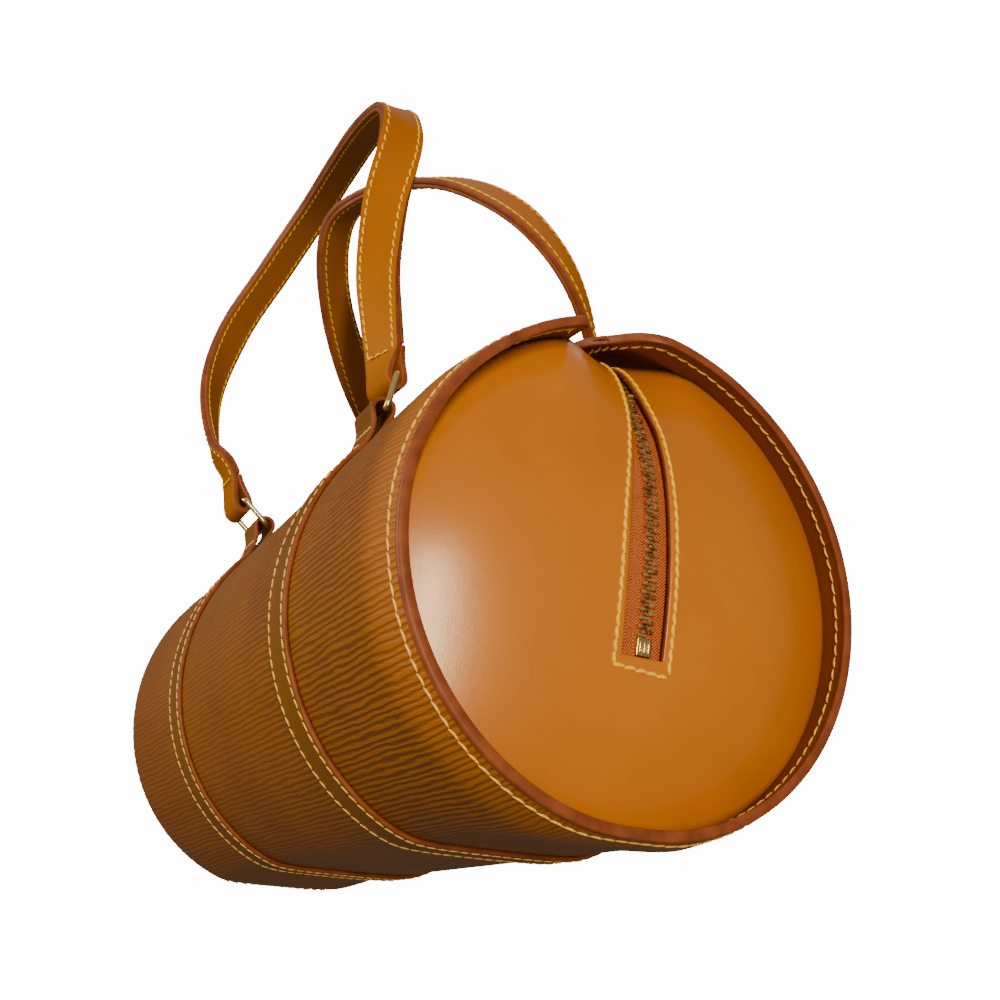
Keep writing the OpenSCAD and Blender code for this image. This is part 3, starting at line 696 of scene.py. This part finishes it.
# Middle line of the chain, from the near end's bottom over the top to the far end
def chainLine():
    half = []
    for k in range(zipLine["steps"]):
        z = zipLine["bottom"] + (zipLine["top"] - zipLine["bottom"]) * k / (zipLine["steps"] - 1)
        y = tableValue(zipSlot, z, 3)
        half.append(domePoint(y, z, 1) - domeOut(y, z, 1) * zipLine["depth"])
    top = Vector((zipLine["straightFrom"], 0, barrel["axisHeight"] + zipLine["topRadius"]))
    corner = Vector((*zipLine["corner"], top.z))
    half = [p for p in half if p.z < top.z - zipLine["cornerFrom"]]
    last = half[-1]
    for k in range(1, zipLine["cornerSteps"] + 1):
        t = k / zipLine["cornerSteps"]
        half.append(last * (1 - t) ** 2 + corner * 2 * t * (1 - t) + top * t * t)
    return half + [Vector((-p.x, p.y, p.z)) for p in reversed(half)]


chain = chainLine()
chainLengths = runningLengths(chain)


def onChain(distance):
    i, share = stepAt(chainLengths, distance)
    spot = chain[i].lerp(chain[i + 1], share)
    along = wayAt(chain, i, 1, 2).normalized()
    out = Vector((along.z, 0, -along.x)).normalized()
    if out.dot(spot - Vector((0, 0, barrel["axisHeight"]))) < 0:
        out = -out
    return spot, along, out


def makeTape(name, side, node):
    def place(s, t):
        spot, along, out = onChain(s * chainLengths[-1])
        return spot + Vector((0, side * (zipLine["tapeGap"] + t * zipLine["tapeWidth"]), 0)) \
            - out * zipLine["tapeUnder"]

    made = bendSheet(name, (260, 6), place, (chainLengths[-1], 11), "bag", [tapeWeave], zipLine["tape"], 0)
    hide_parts(node)


makeTape("leftZipTape", -1, "left_zip_tape")
makeTape("rightZipTape", 1, "right_zip_tape")

# Middle and size of a tooth's foot, clamped on the tape, and of its head, which reaches past the middle
toothShape = {"foot": ((0, -1.55, 0), (1.25, 1.5, 2.2)), "head": ((0, -0.15, 0), (0.95, 1.7, 1.7)),
              "edge": 0.22}


def toothMesh():
    build = bmesh.new()
    for middle, size in (toothShape["foot"], toothShape["head"]):
        bmesh.ops.create_cube(build, size=1, matrix=Matrix.Translation(middle) @ Matrix.Diagonal((*size, 1)))
    bmesh.ops.bevel(build, geom=build.edges[:], offset=toothShape["edge"], offset_type="OFFSET", segments=1,
                    profile=0.5, affect="EDGES", material=-1)
    mesh = bpy.data.meshes.new("oneTooth")
    build.to_mesh(mesh)
    build.free()
    return mesh


def makeTeeth(name, side, node, sample):
    build = bmesh.new()
    first = zipLine["stop"] + zipLine["firstTooth"] + (zipLine["pitch"] / 2 if side > 0 else 0)
    count = int((chainLengths[-1] - 2 * (zipLine["stop"] + zipLine["lastTooth"])) / zipLine["pitch"])
    across = Vector((0, -side, 0))
    for i in range(count):
        spot, along, out = onChain(first + i * zipLine["pitch"])
        before = len(build.verts)
        build.from_mesh(sample)
        build.verts.ensure_lookup_table()
        for vert in build.verts[before:]:
            p = vert.co
            vert.co = (spot + along * p.x + across * p.y + out * p.z) * mm
    bmesh.ops.recalc_face_normals(build, faces=build.faces)
    made = finishPiece(name, build, [agedBrass], "bag", 30)
    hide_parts(node)


tooth = toothMesh()
makeTeeth("leftZipTeeth", -1, "left_zip_teeth", tooth)
makeTeeth("rightZipTeeth", 1, "right_zip_teeth", tooth)
bpy.data.meshes.remove(tooth)


# Box stop: a block with three rounded ribs along the chain
def makeStop(name, distance, node):
    stop = {"size": (5.2, 4.8, 2.4), "edge": 0.5, "ribs": (-1, 0, 1), "ribsAcross": 3.6,
            "ribLength": 0.42, "ribHalf": (0.52, 0.5), "ribSunk": 0.05}
    length, width, height = stop["size"]
    spot, along, out = onChain(distance)
    across = along.cross(out)
    build = bmesh.new()
    bmesh.ops.create_cube(build, size=1, matrix=Matrix.Diagonal((*stop["size"], 1)))
    bmesh.ops.bevel(build, geom=build.edges[:], offset=stop["edge"], offset_type="OFFSET", segments=3,
                    profile=0.5, affect="EDGES", material=-1)
    for i in stop["ribs"]:
        middle = (0, i * width / stop["ribsAcross"], height / 2 - stop["ribSunk"])
        bmesh.ops.create_uvsphere(build, u_segments=12, v_segments=8, radius=1, matrix=Matrix.Translation(
            middle) @ Matrix.Diagonal((length * stop["ribLength"], *stop["ribHalf"], 1)))
    for vert in build.verts:
        p = vert.co
        vert.co = (spot + along * p.x + across * p.y + out * p.z) * mm
    bmesh.ops.recalc_face_normals(build, faces=build.faces)
    made = finishPiece(name, build, [paleGold], "bag", 35)
    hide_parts(node)


makeStop("nearZipStop", zipLine["stopAt"], "near_zip_stop")
makeStop("farZipStop", chainLengths[-1] - zipLine["stopAt"], "far_zip_stop")

# Strips beside the zip along the top: as wide apart as a zip slot, closing at both ends
strip = {"halfLength": 123.5, "width": 20, "slotHalf": 6.3, "closeStart": 96, "closeRun": 28,
         "lean": 15, "leanStart": 100, "leanRun": 23.5, "thickness": 1.5,
         "stitchIn": 2, "stitchReach": 122, "stitchStep": 3}
stripRadius = barrel["radius"] - dome["depth"]


def stripEdge(x, side):
    closing = eased((abs(x) - strip["closeStart"]) / strip["closeRun"])
    half = side * strip["slotHalf"]
    return half + (slotEdge(72, side) - half) * closing


def makeStrip(name, side, node):
    def place(s, t):
        x = -strip["halfLength"] + 2 * strip["halfLength"] * s
        arc = stripEdge(x, side) + side * t * strip["width"]
        x += math.copysign(strip["lean"] * eased(abs(arc) / dome["roundHalf"])
                           * eased((abs(x) - strip["leanStart"]) / strip["leanRun"]), x)
        turn = arc / stripRadius
        return Vector((x, stripRadius * math.sin(turn), barrel["axisHeight"] + stripRadius * math.cos(turn)))

    made = bendSheet(name, (120, 12), place, (254, 21), "bag", [endLeather, paint], strip["thickness"])
    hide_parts(node)


makeStrip("leftZipStrip", -1, "left_zip_strip")
makeStrip("rightZipStrip", 1, "right_zip_strip")
print("stage: zip made")

band = {"x": 65.5, "width": 16, "thickness": 1.5, "gap": 0.05, "edge": 0.45,
        "ringAngle": 38.5, "pivotRadius": 82.1, "loopSteps": 8, "roundSteps": 160,
        "stitchIn": 2, "stitchFrom": 20, "crossFrom": 34, "crossStep": 0.8, "crossHalf": 8,
        "seam": {"pitch": 3.6, "length": 3.3, "girth": 0.72}}
# Half of the band's section as (along the round, over the round) places near its ring loop,
# measured from the ring's lower bar
loopPath = [Vector(p) for p in (
    (-30, -6.3), (-22, -6.3), (-15, -6.2), (-11, -5.5), (-7.6, -3.8), (-5.2, -1.6), (-3.95, 0.8), (-2.7, 3.0),
    (0, 4.0), (2.7, 3.0), (3.95, 0.8), (3.2, -1.4), (1.2, -3.1), (-1.6, -4.3), (-4.6, -5.6), (-9.5, -7.0))]
loopCurve = curveThrough(loopPath, band["loopSteps"])


# Places of the band's middle surface from the left loop's end round the bottom to the right one
def bandRow():
    def atLoop(side, p):
        reach = band["pivotRadius"] + p.y
        turn = math.radians(band["ringAngle"]) - p.x / reach
        return Vector((side * math.sin(turn), math.cos(turn))) * reach

    rows = [atLoop(-1, p) for p in reversed(loopCurve)]
    reach = barrel["radius"] + band["gap"] + band["thickness"] / 2
    low = -barrel["axisHeight"] + barrel["bandSeat"] - band["thickness"] / 2
    start = math.degrees(math.atan2(-rows[-1].x, rows[-1].y))
    for k in range(1, band["roundSteps"]):
        turn = math.radians(start + (360 - 2 * start) * k / band["roundSteps"])
        gap = reach * math.cos(turn) - low
        rows.append(Vector((-reach * math.sin(turn),
                            low + (gap + math.sqrt(gap * gap + 1 + barrel["softFlat"])) / 2)))
    return rows + [atLoop(1, p) for p in loopCurve]


bandMiddle = bandRow()


# A band's place at a row and the way out there
def onBand(i, x):
    p, way = bandMiddle[i], wayAt(bandMiddle, i, 1, 1).normalized()
    out = Vector((0, way.y, -way.x))
    return Vector((x, p.x, p.y + barrel["axisHeight"])), out if out.dot(Vector((0, p.x, p.y))) > 0 else -out


def makeBand(name, x, node):
    count = len(bandMiddle) - 1

    def place(s, t):
        return onBand(min(int(round(s * count)), count), x + (t - 0.5) * band["width"])[0]

    made = bendSheet(name, (count + 1, 6), place, (480, 16), "bag", [bandLeather, paint],
                     band["thickness"], 0, band["edge"])
    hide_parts(node)

    def sewnAt(i, aside, lift):
        spot, out = onBand(i, x + aside)
        return spot + out * (band["thickness"] / 2 + lift), out

    first, loop = len(loopCurve) - band["stitchFrom"], len(loopCurve) - band["crossFrom"]
    rows = [[sewnAt(i, side * (band["width"] / 2 - band["stitchIn"]), overSkin)
             for i in range(first, len(bandMiddle) - first)] for side in (-1, 1)]
    rows += [[sewnAt(i, k * band["crossStep"], 0) for k in range(-band["crossHalf"], band["crossHalf"] + 1)]
             for i in (loop, count - loop)]
    sewRows(name + "Stitches", rows, creamThread, "bag", **band["seam"])


makeBand("nearBand", band["x"], "near_band")
makeBand("farBand", -band["x"], "far_band")
print("stage: bands made")

# The pivot is the middle of a ring's lower bar, and the foot is the strap's straight part over the upper one
strap = {"width": 16, "outer": 2.2, "lining": 1.5, "gap": 0.1, "edge": 0.4, "foot": 12, "rise": 120,
         "ringHeight": 14.4, "pivotY": 51.108, "pivotZ": 136.552, "steps": 14, "foldSteps": 6,
         "stitchIn": 2, "over": 0.08, "nearSewn": (2.5, 1.5, 0.5), "farSewn": (0.5, 1.5),
         "crossOver": 0.75, "crossSteps": 8,
         "seam": {"pitch": 3.5, "length": 3.2, "girth": 0.74}}
strapFace = (strap["outer"] + strap["gap"] + strap["lining"]) / 2
# A strap's middle, from the near ring to the far one: x in shares of the bands' x, y and z in shares of
# the rise from the near bar, and the strap's yaw and lean in degrees
leftRoute = [
    (0.959, -0.032, 0.222, 30, -1), (0.940, -0.052, 0.378, 44, -7), (1.018, -0.066, 0.582, 60, -10),
    (1.097, -0.056, 0.748, 81, -10), (1.055, -0.054, 0.869, 93, -5), (0.857, -0.052, 0.979, 87, 10),
    (0.445, -0.050, 1.069, 77, 21), (-0.112, -0.033, 1.130, 79, 23), (-0.651, -0.040, 1.105, 86, 24),
    (-1.071, -0.101, 0.949, 97, 22), (-1.333, -0.183, 0.737, 113, 20), (-1.337, -0.234, 0.464, 139, 16),
    (-1.182, -0.210, 0.198, 159, 8)]
rightRoute = [
    (1.259, -0.172, 0.239, 142, 42), (1.429, -0.303, 0.381, 125, 41), (1.426, -0.424, 0.514, 113, 37),
    (1.288, -0.529, 0.634, 102, 33), (1.038, -0.634, 0.738, 100, 29), (0.666, -0.750, 0.806, 100, 31),
    (0.282, -0.820, 0.815, 101, 36), (0.019, -0.807, 0.756, 100, 42), (-0.266, -0.730, 0.655, 95, 51),
    (-0.523, -0.615, 0.546, 80, 55), (-0.738, -0.472, 0.421, 58, 55), (-0.918, -0.291, 0.258, 29, 54)]
handles = {
    "left": {"route": leftRoute, "side": -1, "ringLeans": (-10, 50), "leans": (10, 22), "yaws": (22, 180),
             "nearTwist": 17},
    "right": {"route": rightRoute, "side": 1, "ringLeans": (38, 48), "leans": (38, 48), "yaws": (180, 0),
              "nearTwist": 0},
}


def leanWay(lean):
    return Vector((0, -math.sin(math.radians(lean)), math.cos(math.radians(lean))))


def widthWay(yaw, lean):
    yaw, lean = math.radians(yaw), math.radians(lean)
    return Vector((math.cos(yaw), math.sin(yaw) * math.cos(lean), math.sin(yaw) * math.sin(lean)))


# Frames (place, across, out) of a strap's middle between its feet
def strapFrames(route, nearBar, farBar, leans, yaws):
    rows = [(Vector((s[0] * band["x"], nearBar.y + s[1] * strap["rise"], nearBar.z + s[2] * strap["rise"])),
             Vector((s[3], s[4]))) for s in route]
    nearWay, farWay = leanWay(leans[0]), leanWay(leans[1])
    nearFoot, farFoot = nearBar + nearWay * strap["foot"], farBar + farWay * strap["foot"]
    before = rows[0][0] - nearWay * 2 * (rows[0][0] - nearFoot).length
    after = rows[-1][0] - farWay * 2 * (rows[-1][0] - farFoot).length
    places = [before, nearFoot] + [r[0] for r in rows] + [farFoot, after]
    turns = [Vector((yaws[0], leans[0]))] * 2 + [r[1] for r in rows] + [Vector((yaws[1], leans[1]))] * 2
    line, spin = [[between(*points[i - 1:i + 3], k / strap["steps"])
                   for i in range(1, len(points) - 2) for k in range(strap["steps"])] + [points[-2]]
                  for points in (places, turns)]
    found = []
    for i, (p, turn) in enumerate(zip(line, spin)):
        if i == 0:
            along = nearWay
        elif i == len(line) - 1:
            along = -farWay
        else:
            along = (line[i + 1] - line[i - 1]).normalized()
        across = widthWay(turn.x, turn.y)
        across = (across - along * across.dot(along)).normalized()
        found.append((p, across, across.cross(along)))
    return found


# The outer leather's fold round a ring bar as (out, up) places, from its tucked end to the strap
foldPath = [Vector(p) for p in (
    (-1.2, 11.4), (-1.35, 8), (-2.0, 4.2), (-2.75, 0.6), (-2.5, -2.6), (0, -4.5), (2.5, -2.6), (2.75, 0.6),
    (2.1, 4.2), (1.25, 8), (0.8, 12))]


def foldFrames(bar, lean, atBar, atFoot, sense):
    way = leanWay(lean)
    curve = curveThrough(foldPath, strap["foldSteps"])[:-1]
    found = []
    for i, p in enumerate(curve):
        step = wayAt(curve, i, 1, 1).normalized()
        across = atBar.lerp(atFoot, eased(p.y / strap["foot"]))
        across = (across - way * across.dot(way)).normalized()
        out = across.cross(way * sense)
        found.append((bar + out * p.x + way * p.y, across, out * step.y - way * step.x))
    return found


def makeHandle(name, body, nodesOut, nodesIn):
    facts = handles[name]
    leans, yaws = facts["leans"], facts["yaws"]
    nearBar, farBar = [Vector((x, facts["side"] * strap["pivotY"], strap["pivotZ"]))
                       + leanWay(lean) * strap["ringHeight"]
                       for x, lean in zip((band["x"], -band["x"]), facts["ringLeans"])]
    frames = strapFrames(facts["route"], nearBar, farBar, leans, yaws)
    shift = strapFace - strap["outer"] / 2
    nearAcross = widthWay(yaws[0] - facts["nearTwist"], leans[0])
    outer = foldFrames(nearBar, leans[0], nearAcross, frames[0][1], 1)
    outer += [(p + out * shift, across, out) for p, across, out in frames]
    outer += list(reversed(foldFrames(farBar, leans[1], widthWay(yaws[1], leans[1]), frames[-1][1], -1)))
    inner = [(p - out * (strapFace - strap["lining"] / 2), across, out) for p, across, out in frames]
    lengthAlong = sum((b[0] - a[0]).length for a, b in zip(outer, outer[1:]))

    def layer(title, rows, leather, thick, replaced):
        count = len(rows) - 1

        def place(s, t):
            p, across, out = rows[min(int(round(s * count)), count)]
            return p + across * (t - 0.5) * strap["width"]

        made = bendSheet(title, (count + 1, 8), place, (lengthAlong, strap["width"]), body,
                         [leather, paint], thick, 0, strap["edge"])
        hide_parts(*replaced)

    layer(name + "Strap", outer, strapLeather, strap["outer"], nodesOut)
    layer(name + "StrapLining", inner, liningLeather, strap["lining"], nodesIn)
    # Stitches run a little below each foot too, where a row crosses the strap
    sewn = [(frames[0][0] - leanWay(leans[0]) * k, *frames[0][1:]) for k in strap["nearSewn"]] + frames
    sewn += [(frames[-1][0] - leanWay(leans[1]) * k, *frames[-1][1:]) for k in strap["farSewn"]]
    reach = strap["width"] / 2 - strap["stitchIn"]
    lift = strapFace + strap["over"]
    rows = []
    for face in (1, -1):
        for edge in (-1, 1):
            rows.append([(p + across * edge * reach + out * face * lift, out * face)
                         for p, across, out in sewn])
        for p, across, out in (sewn[0], sewn[-1]):
            rows.append([(p + across * reach * (2 * k / strap["crossSteps"] - 1)
                          + out * face * (lift + strap["crossOver"]), out * face)
                         for k in range(strap["crossSteps"] + 1)])
    sewRows(name + "Stitches", rows, yellowThread, body, **strap["seam"])


makeHandle("left", "left_handle", ["left_strap", "near_left_strap_end", "far_left_strap_end"],
           ["left_strap_lining"])
makeHandle("right", "right_handle", ["right_strap", "near_right_strap_end", "far_right_strap_end"],
           ["right_strap_lining"])
print("stage: handles made")


# Stitches round a rim, on its outside and its inside
def sewRim(name, outline, end):
    row = inset(outline, rim["stitchIn"], end, rim["skip"])
    rows = [[(onWrap(p.x, p.y, depth) + wrapSkinOut(p.x, p.y) * way * overSkin, wrapSkinOut(p.x, p.y) * way)
             for p in row] for depth, way in ((0, 1), (rim["innerDepth"], -1))]
    sewRows(name, rows, creamThread, "bag", **rim["seam"])


sewRim("nearRimStitches", nearOutline, 1)
sewRim("farRimStitches", farOutline, -1)

# Rows beside the slot on the dome, which come closer to it upwards, and the slanting row below it
slotSeam = {"bottom": -29.4, "top": 72.4, "steps": 100, "left": 1.9, "right": 2.2,
            "closer": 0.8, "closerFrom": 10, "closerRun": 40,
            "baseFrom": -10.7, "baseLength": 17, "baseDrop": 1.3, "baseSteps": 12}


def sewSlot(name, end):
    rows = []
    steps = slotSeam["steps"]
    for side, away in ((-1, slotSeam["left"]), (1, slotSeam["right"])):
        row = []
        for k in range(steps):
            z = slotSeam["bottom"] + (slotSeam["top"] - slotSeam["bottom"]) * k / (steps - 1)
            closer = slotSeam["closer"] * eased((z - slotSeam["closerFrom"]) / slotSeam["closerRun"])
            row.append(overDome(slotEdge(max(z, slotBottom), side) + side * (away - closer), z, end))
        rows.append(row)
    steps = slotSeam["baseSteps"]
    rows.append([overDome(slotSeam["baseFrom"] + slotSeam["baseLength"] * k / (steps - 1),
                          slotSeam["bottom"] - slotSeam["baseDrop"] * k / (steps - 1), end)
                 for k in range(steps)])
    sewRows(name, rows, yellowThread, "bag", **zipSeam)


sewSlot("nearSlotStitches", 1)
sewSlot("farSlotStitches", -1)


def sewStrips():
    rows = []
    for side in (-1, 1):
        row = []
        for x in range(-strip["stitchReach"], strip["stitchReach"] + 1, strip["stitchStep"]):
            turn = (stripEdge(x, side) + side * strip["stitchIn"]) / stripRadius
            out = Vector((0, math.sin(turn), math.cos(turn)))
            row.append((Vector((x, 0, barrel["axisHeight"])) + out * (stripRadius + overSkin), out))
        rows.append(row)
    sewRows("topZipStitches", rows, yellowThread, "bag", **zipSeam)


sewStrips()
print("stage: barrel sewn")

# The CAD's own hardware and backing get their finish
carried = {"near_left_ring": paleGold, "far_left_ring": paleGold, "near_right_ring": paleGold,
           "far_right_ring": paleGold, "zip_slider": paleGold, "zip_pull": paleGold,
           "wrap_backing": stiffSheet}
for node, skin in carried.items():
    nodes[node].data.materials.clear()
    nodes[node].data.materials.append(skin)

inside = {"half": 132, "edgeArc": 16, "depth": 3.4, "cloth": 0.9, "slack": 0.8, "slackArc": 9, "slackX": 31,
          "hem": 9, "hemThick": 0.5, "bulge": 1.6, "pocketIn": 0.6}


# The barrel's lining, drawn in a little between its seams
def makeLining():
    def place(s, t):
        x = -inside["half"] + 2 * inside["half"] * t
        arc = inside["edgeArc"] + s * (roundLength - 2 * inside["edgeArc"])
        wave = math.sin(arc / inside["slackArc"] + math.sin(x / inside["slackX"]))
        slack = inside["slack"] * math.sin(math.pi * t) * (0.5 + 0.5 * wave)
        return onBarrel(arc, x, inside["depth"] + slack)

    made = bendSheet("barrelLining", (160, 40), place, (440, 264), "bag", [liningCloth], inside["cloth"])
    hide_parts("lining_tube")


# The pocket on the lining, with a turned hem
def makePocket():
    low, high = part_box("inner_pocket")
    reach = -(low.y - axisY) / mm
    width, height = (high.x - low.x) / mm, (high.z - low.z) / mm

    def place(s, t):
        x = (low.x + (high.x - low.x) * s) / mm
        z = (low.z + (high.z - low.z) * t) / mm
        up = z - barrel["axisHeight"]
        bulge = inside["bulge"] * math.sin(math.pi * s) * t
        hem = inside["hemThick"] if z > high.z / mm - inside["hem"] else 0
        return Vector((x, -math.sqrt(max(reach * reach - up * up, 1)) + bulge + hem + inside["pocketIn"], z))

    made = bendSheet("liningPocket", (60, 44), place, (width, height), "bag", [pocketCloth], inside["cloth"])
    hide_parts("inner_pocket")


makeLining()
makePocket()
print("stage: inside made")


def makeFloor():
    build = bmesh.new()
    bmesh.ops.create_grid(build, x_segments=1, y_segments=1, size=4)
    mesh = bpy.data.meshes.new("floor")
    build.to_mesh(mesh)
    build.free()
    floor = bpy.data.objects.new("floor", mesh)
    scene.collection.objects.link(floor)
    made, tree, face = startMaterial("paleFloor", Roughness=0.8, Base_Color=linear("ECECEC"))
    # Only the eye sees it, from above, so that its light doesn't change with the point of view
    side = addNode(tree, "ShaderNodeNewGeometry")
    ray = addNode(tree, "ShaderNodeLightPath")
    other = addNode(tree, "ShaderNodeMath", {"operation": "SUBTRACT"}, {
        0: 1, 1: ray.outputs["Is Camera Ray"]})
    hidden = addNode(tree, "ShaderNodeMath", {"operation": "MAXIMUM"}, {
        0: side.outputs["Backfacing"], 1: other.outputs["Value"]})
    clear = addNode(tree, "ShaderNodeBsdfTransparent")
    both = addNode(tree, "ShaderNodeMixShader", links={
        0: hidden.outputs["Value"], 1: face.outputs["BSDF"], 2: clear.outputs["BSDF"]})
    tree.links.new(both.outputs["Shader"], tree.nodes["Material Output"].inputs["Surface"])
    mesh.materials.append(made)
    floor.location = (0, 0, -0.0003)        # just under the bag, in metres, as all of the stage is


makeFloor()

lightAim = Vector((0.05, 0, 0.09))
light = {
    "key": {"at": (1.25, -0.4, 0.03), "size": (0.075, 0.66), "power": 16.5, "tint": "FFDCAA"},
    "side": {"at": (-0.3, -1.5, 0.5), "size": (1.1, 0.9), "power": 18, "tint": "FFF0DC"},
    "top": {"at": (-0.3, 0.3, 1.6), "size": (1.4, 1.0), "power": 4, "tint": "FFFFFF"},
}
for name, facts in light.items():
    lamp = bpy.data.lights.new(name, "AREA")
    lamp.shape = "RECTANGLE"
    lamp.size, lamp.size_y = facts["size"]
    lamp.energy = facts["power"]
    lamp.color = linear(facts["tint"])[:3]
    lampObject = bpy.data.objects.new(name, lamp)
    lampObject.location = facts["at"]
    lampObject.rotation_euler = (lightAim - Vector(facts["at"])).to_track_quat("-Z", "Y").to_euler()
    scene.collection.objects.link(lampObject)

# A pale room: dimmer behind the bag than before it, and white where the camera looks past the bag
room = {"near": 0.36, "away": 0.15, "seen": 14, "from": (0.75, -0.45, 0.48), "tint": "FFEED2"}
world = bpy.data.worlds.new("paleStudio")
world.use_nodes = True
scene.world = world
sky = world.node_tree
direction = addNode(sky, "ShaderNodeTexCoord")
facing = addNode(sky, "ShaderNodeVectorMath", {"operation": "DOT_PRODUCT"}, {
    0: direction.outputs["Generated"], 1: room["from"]})
glow = addNode(sky, "ShaderNodeMapRange", links={
    "Value": facing.outputs["Value"], "From Min": -0.9, "From Max": 0.9, "To Min": room["away"],
    "To Max": room["near"]})
seen = addNode(sky, "ShaderNodeLightPath")
strength = addNode(sky, "ShaderNodeMix", {"data_type": "FLOAT"}, {
    "Factor": seen.outputs["Is Camera Ray"], "A": glow.outputs["Result"], "B": room["seen"]})
tints = addNode(sky, "ShaderNodeMix", {"data_type": "RGBA"}, {
    0: seen.outputs["Is Camera Ray"], 6: linear(room["tint"]), 7: linear("FFFFFF")})
sky.links.new(strength.outputs["Result"], sky.nodes["Background"].inputs["Strength"])
sky.links.new(tints.outputs[2], sky.nodes["Background"].inputs["Color"])

# The photo's viewpoint in metres, with the ways that the camera looks and has its top
view = {"lens": 42.48, "sensor": 36, "at": (0.40165, axisY - 0.16883, -0.0332),
        "look": (-0.83161, 0.40933, 0.37576), "up": (0.30887, -0.22164, 0.92513)}
camera = bpy.data.cameras.new("photoCamera")
camera.lens = view["lens"]
camera.sensor_width = view["sensor"]
cameraObject = bpy.data.objects.new("photoCamera", camera)
look, up = Vector(view["look"]), Vector(view["up"])
cameraObject.matrix_world = Matrix.Translation(view["at"]) @ Matrix(
    (look.cross(up), up, -look)).transposed().to_4x4()
scene.collection.objects.link(cameraObject)
scene.camera = cameraObject
print("stage: lights and camera set")
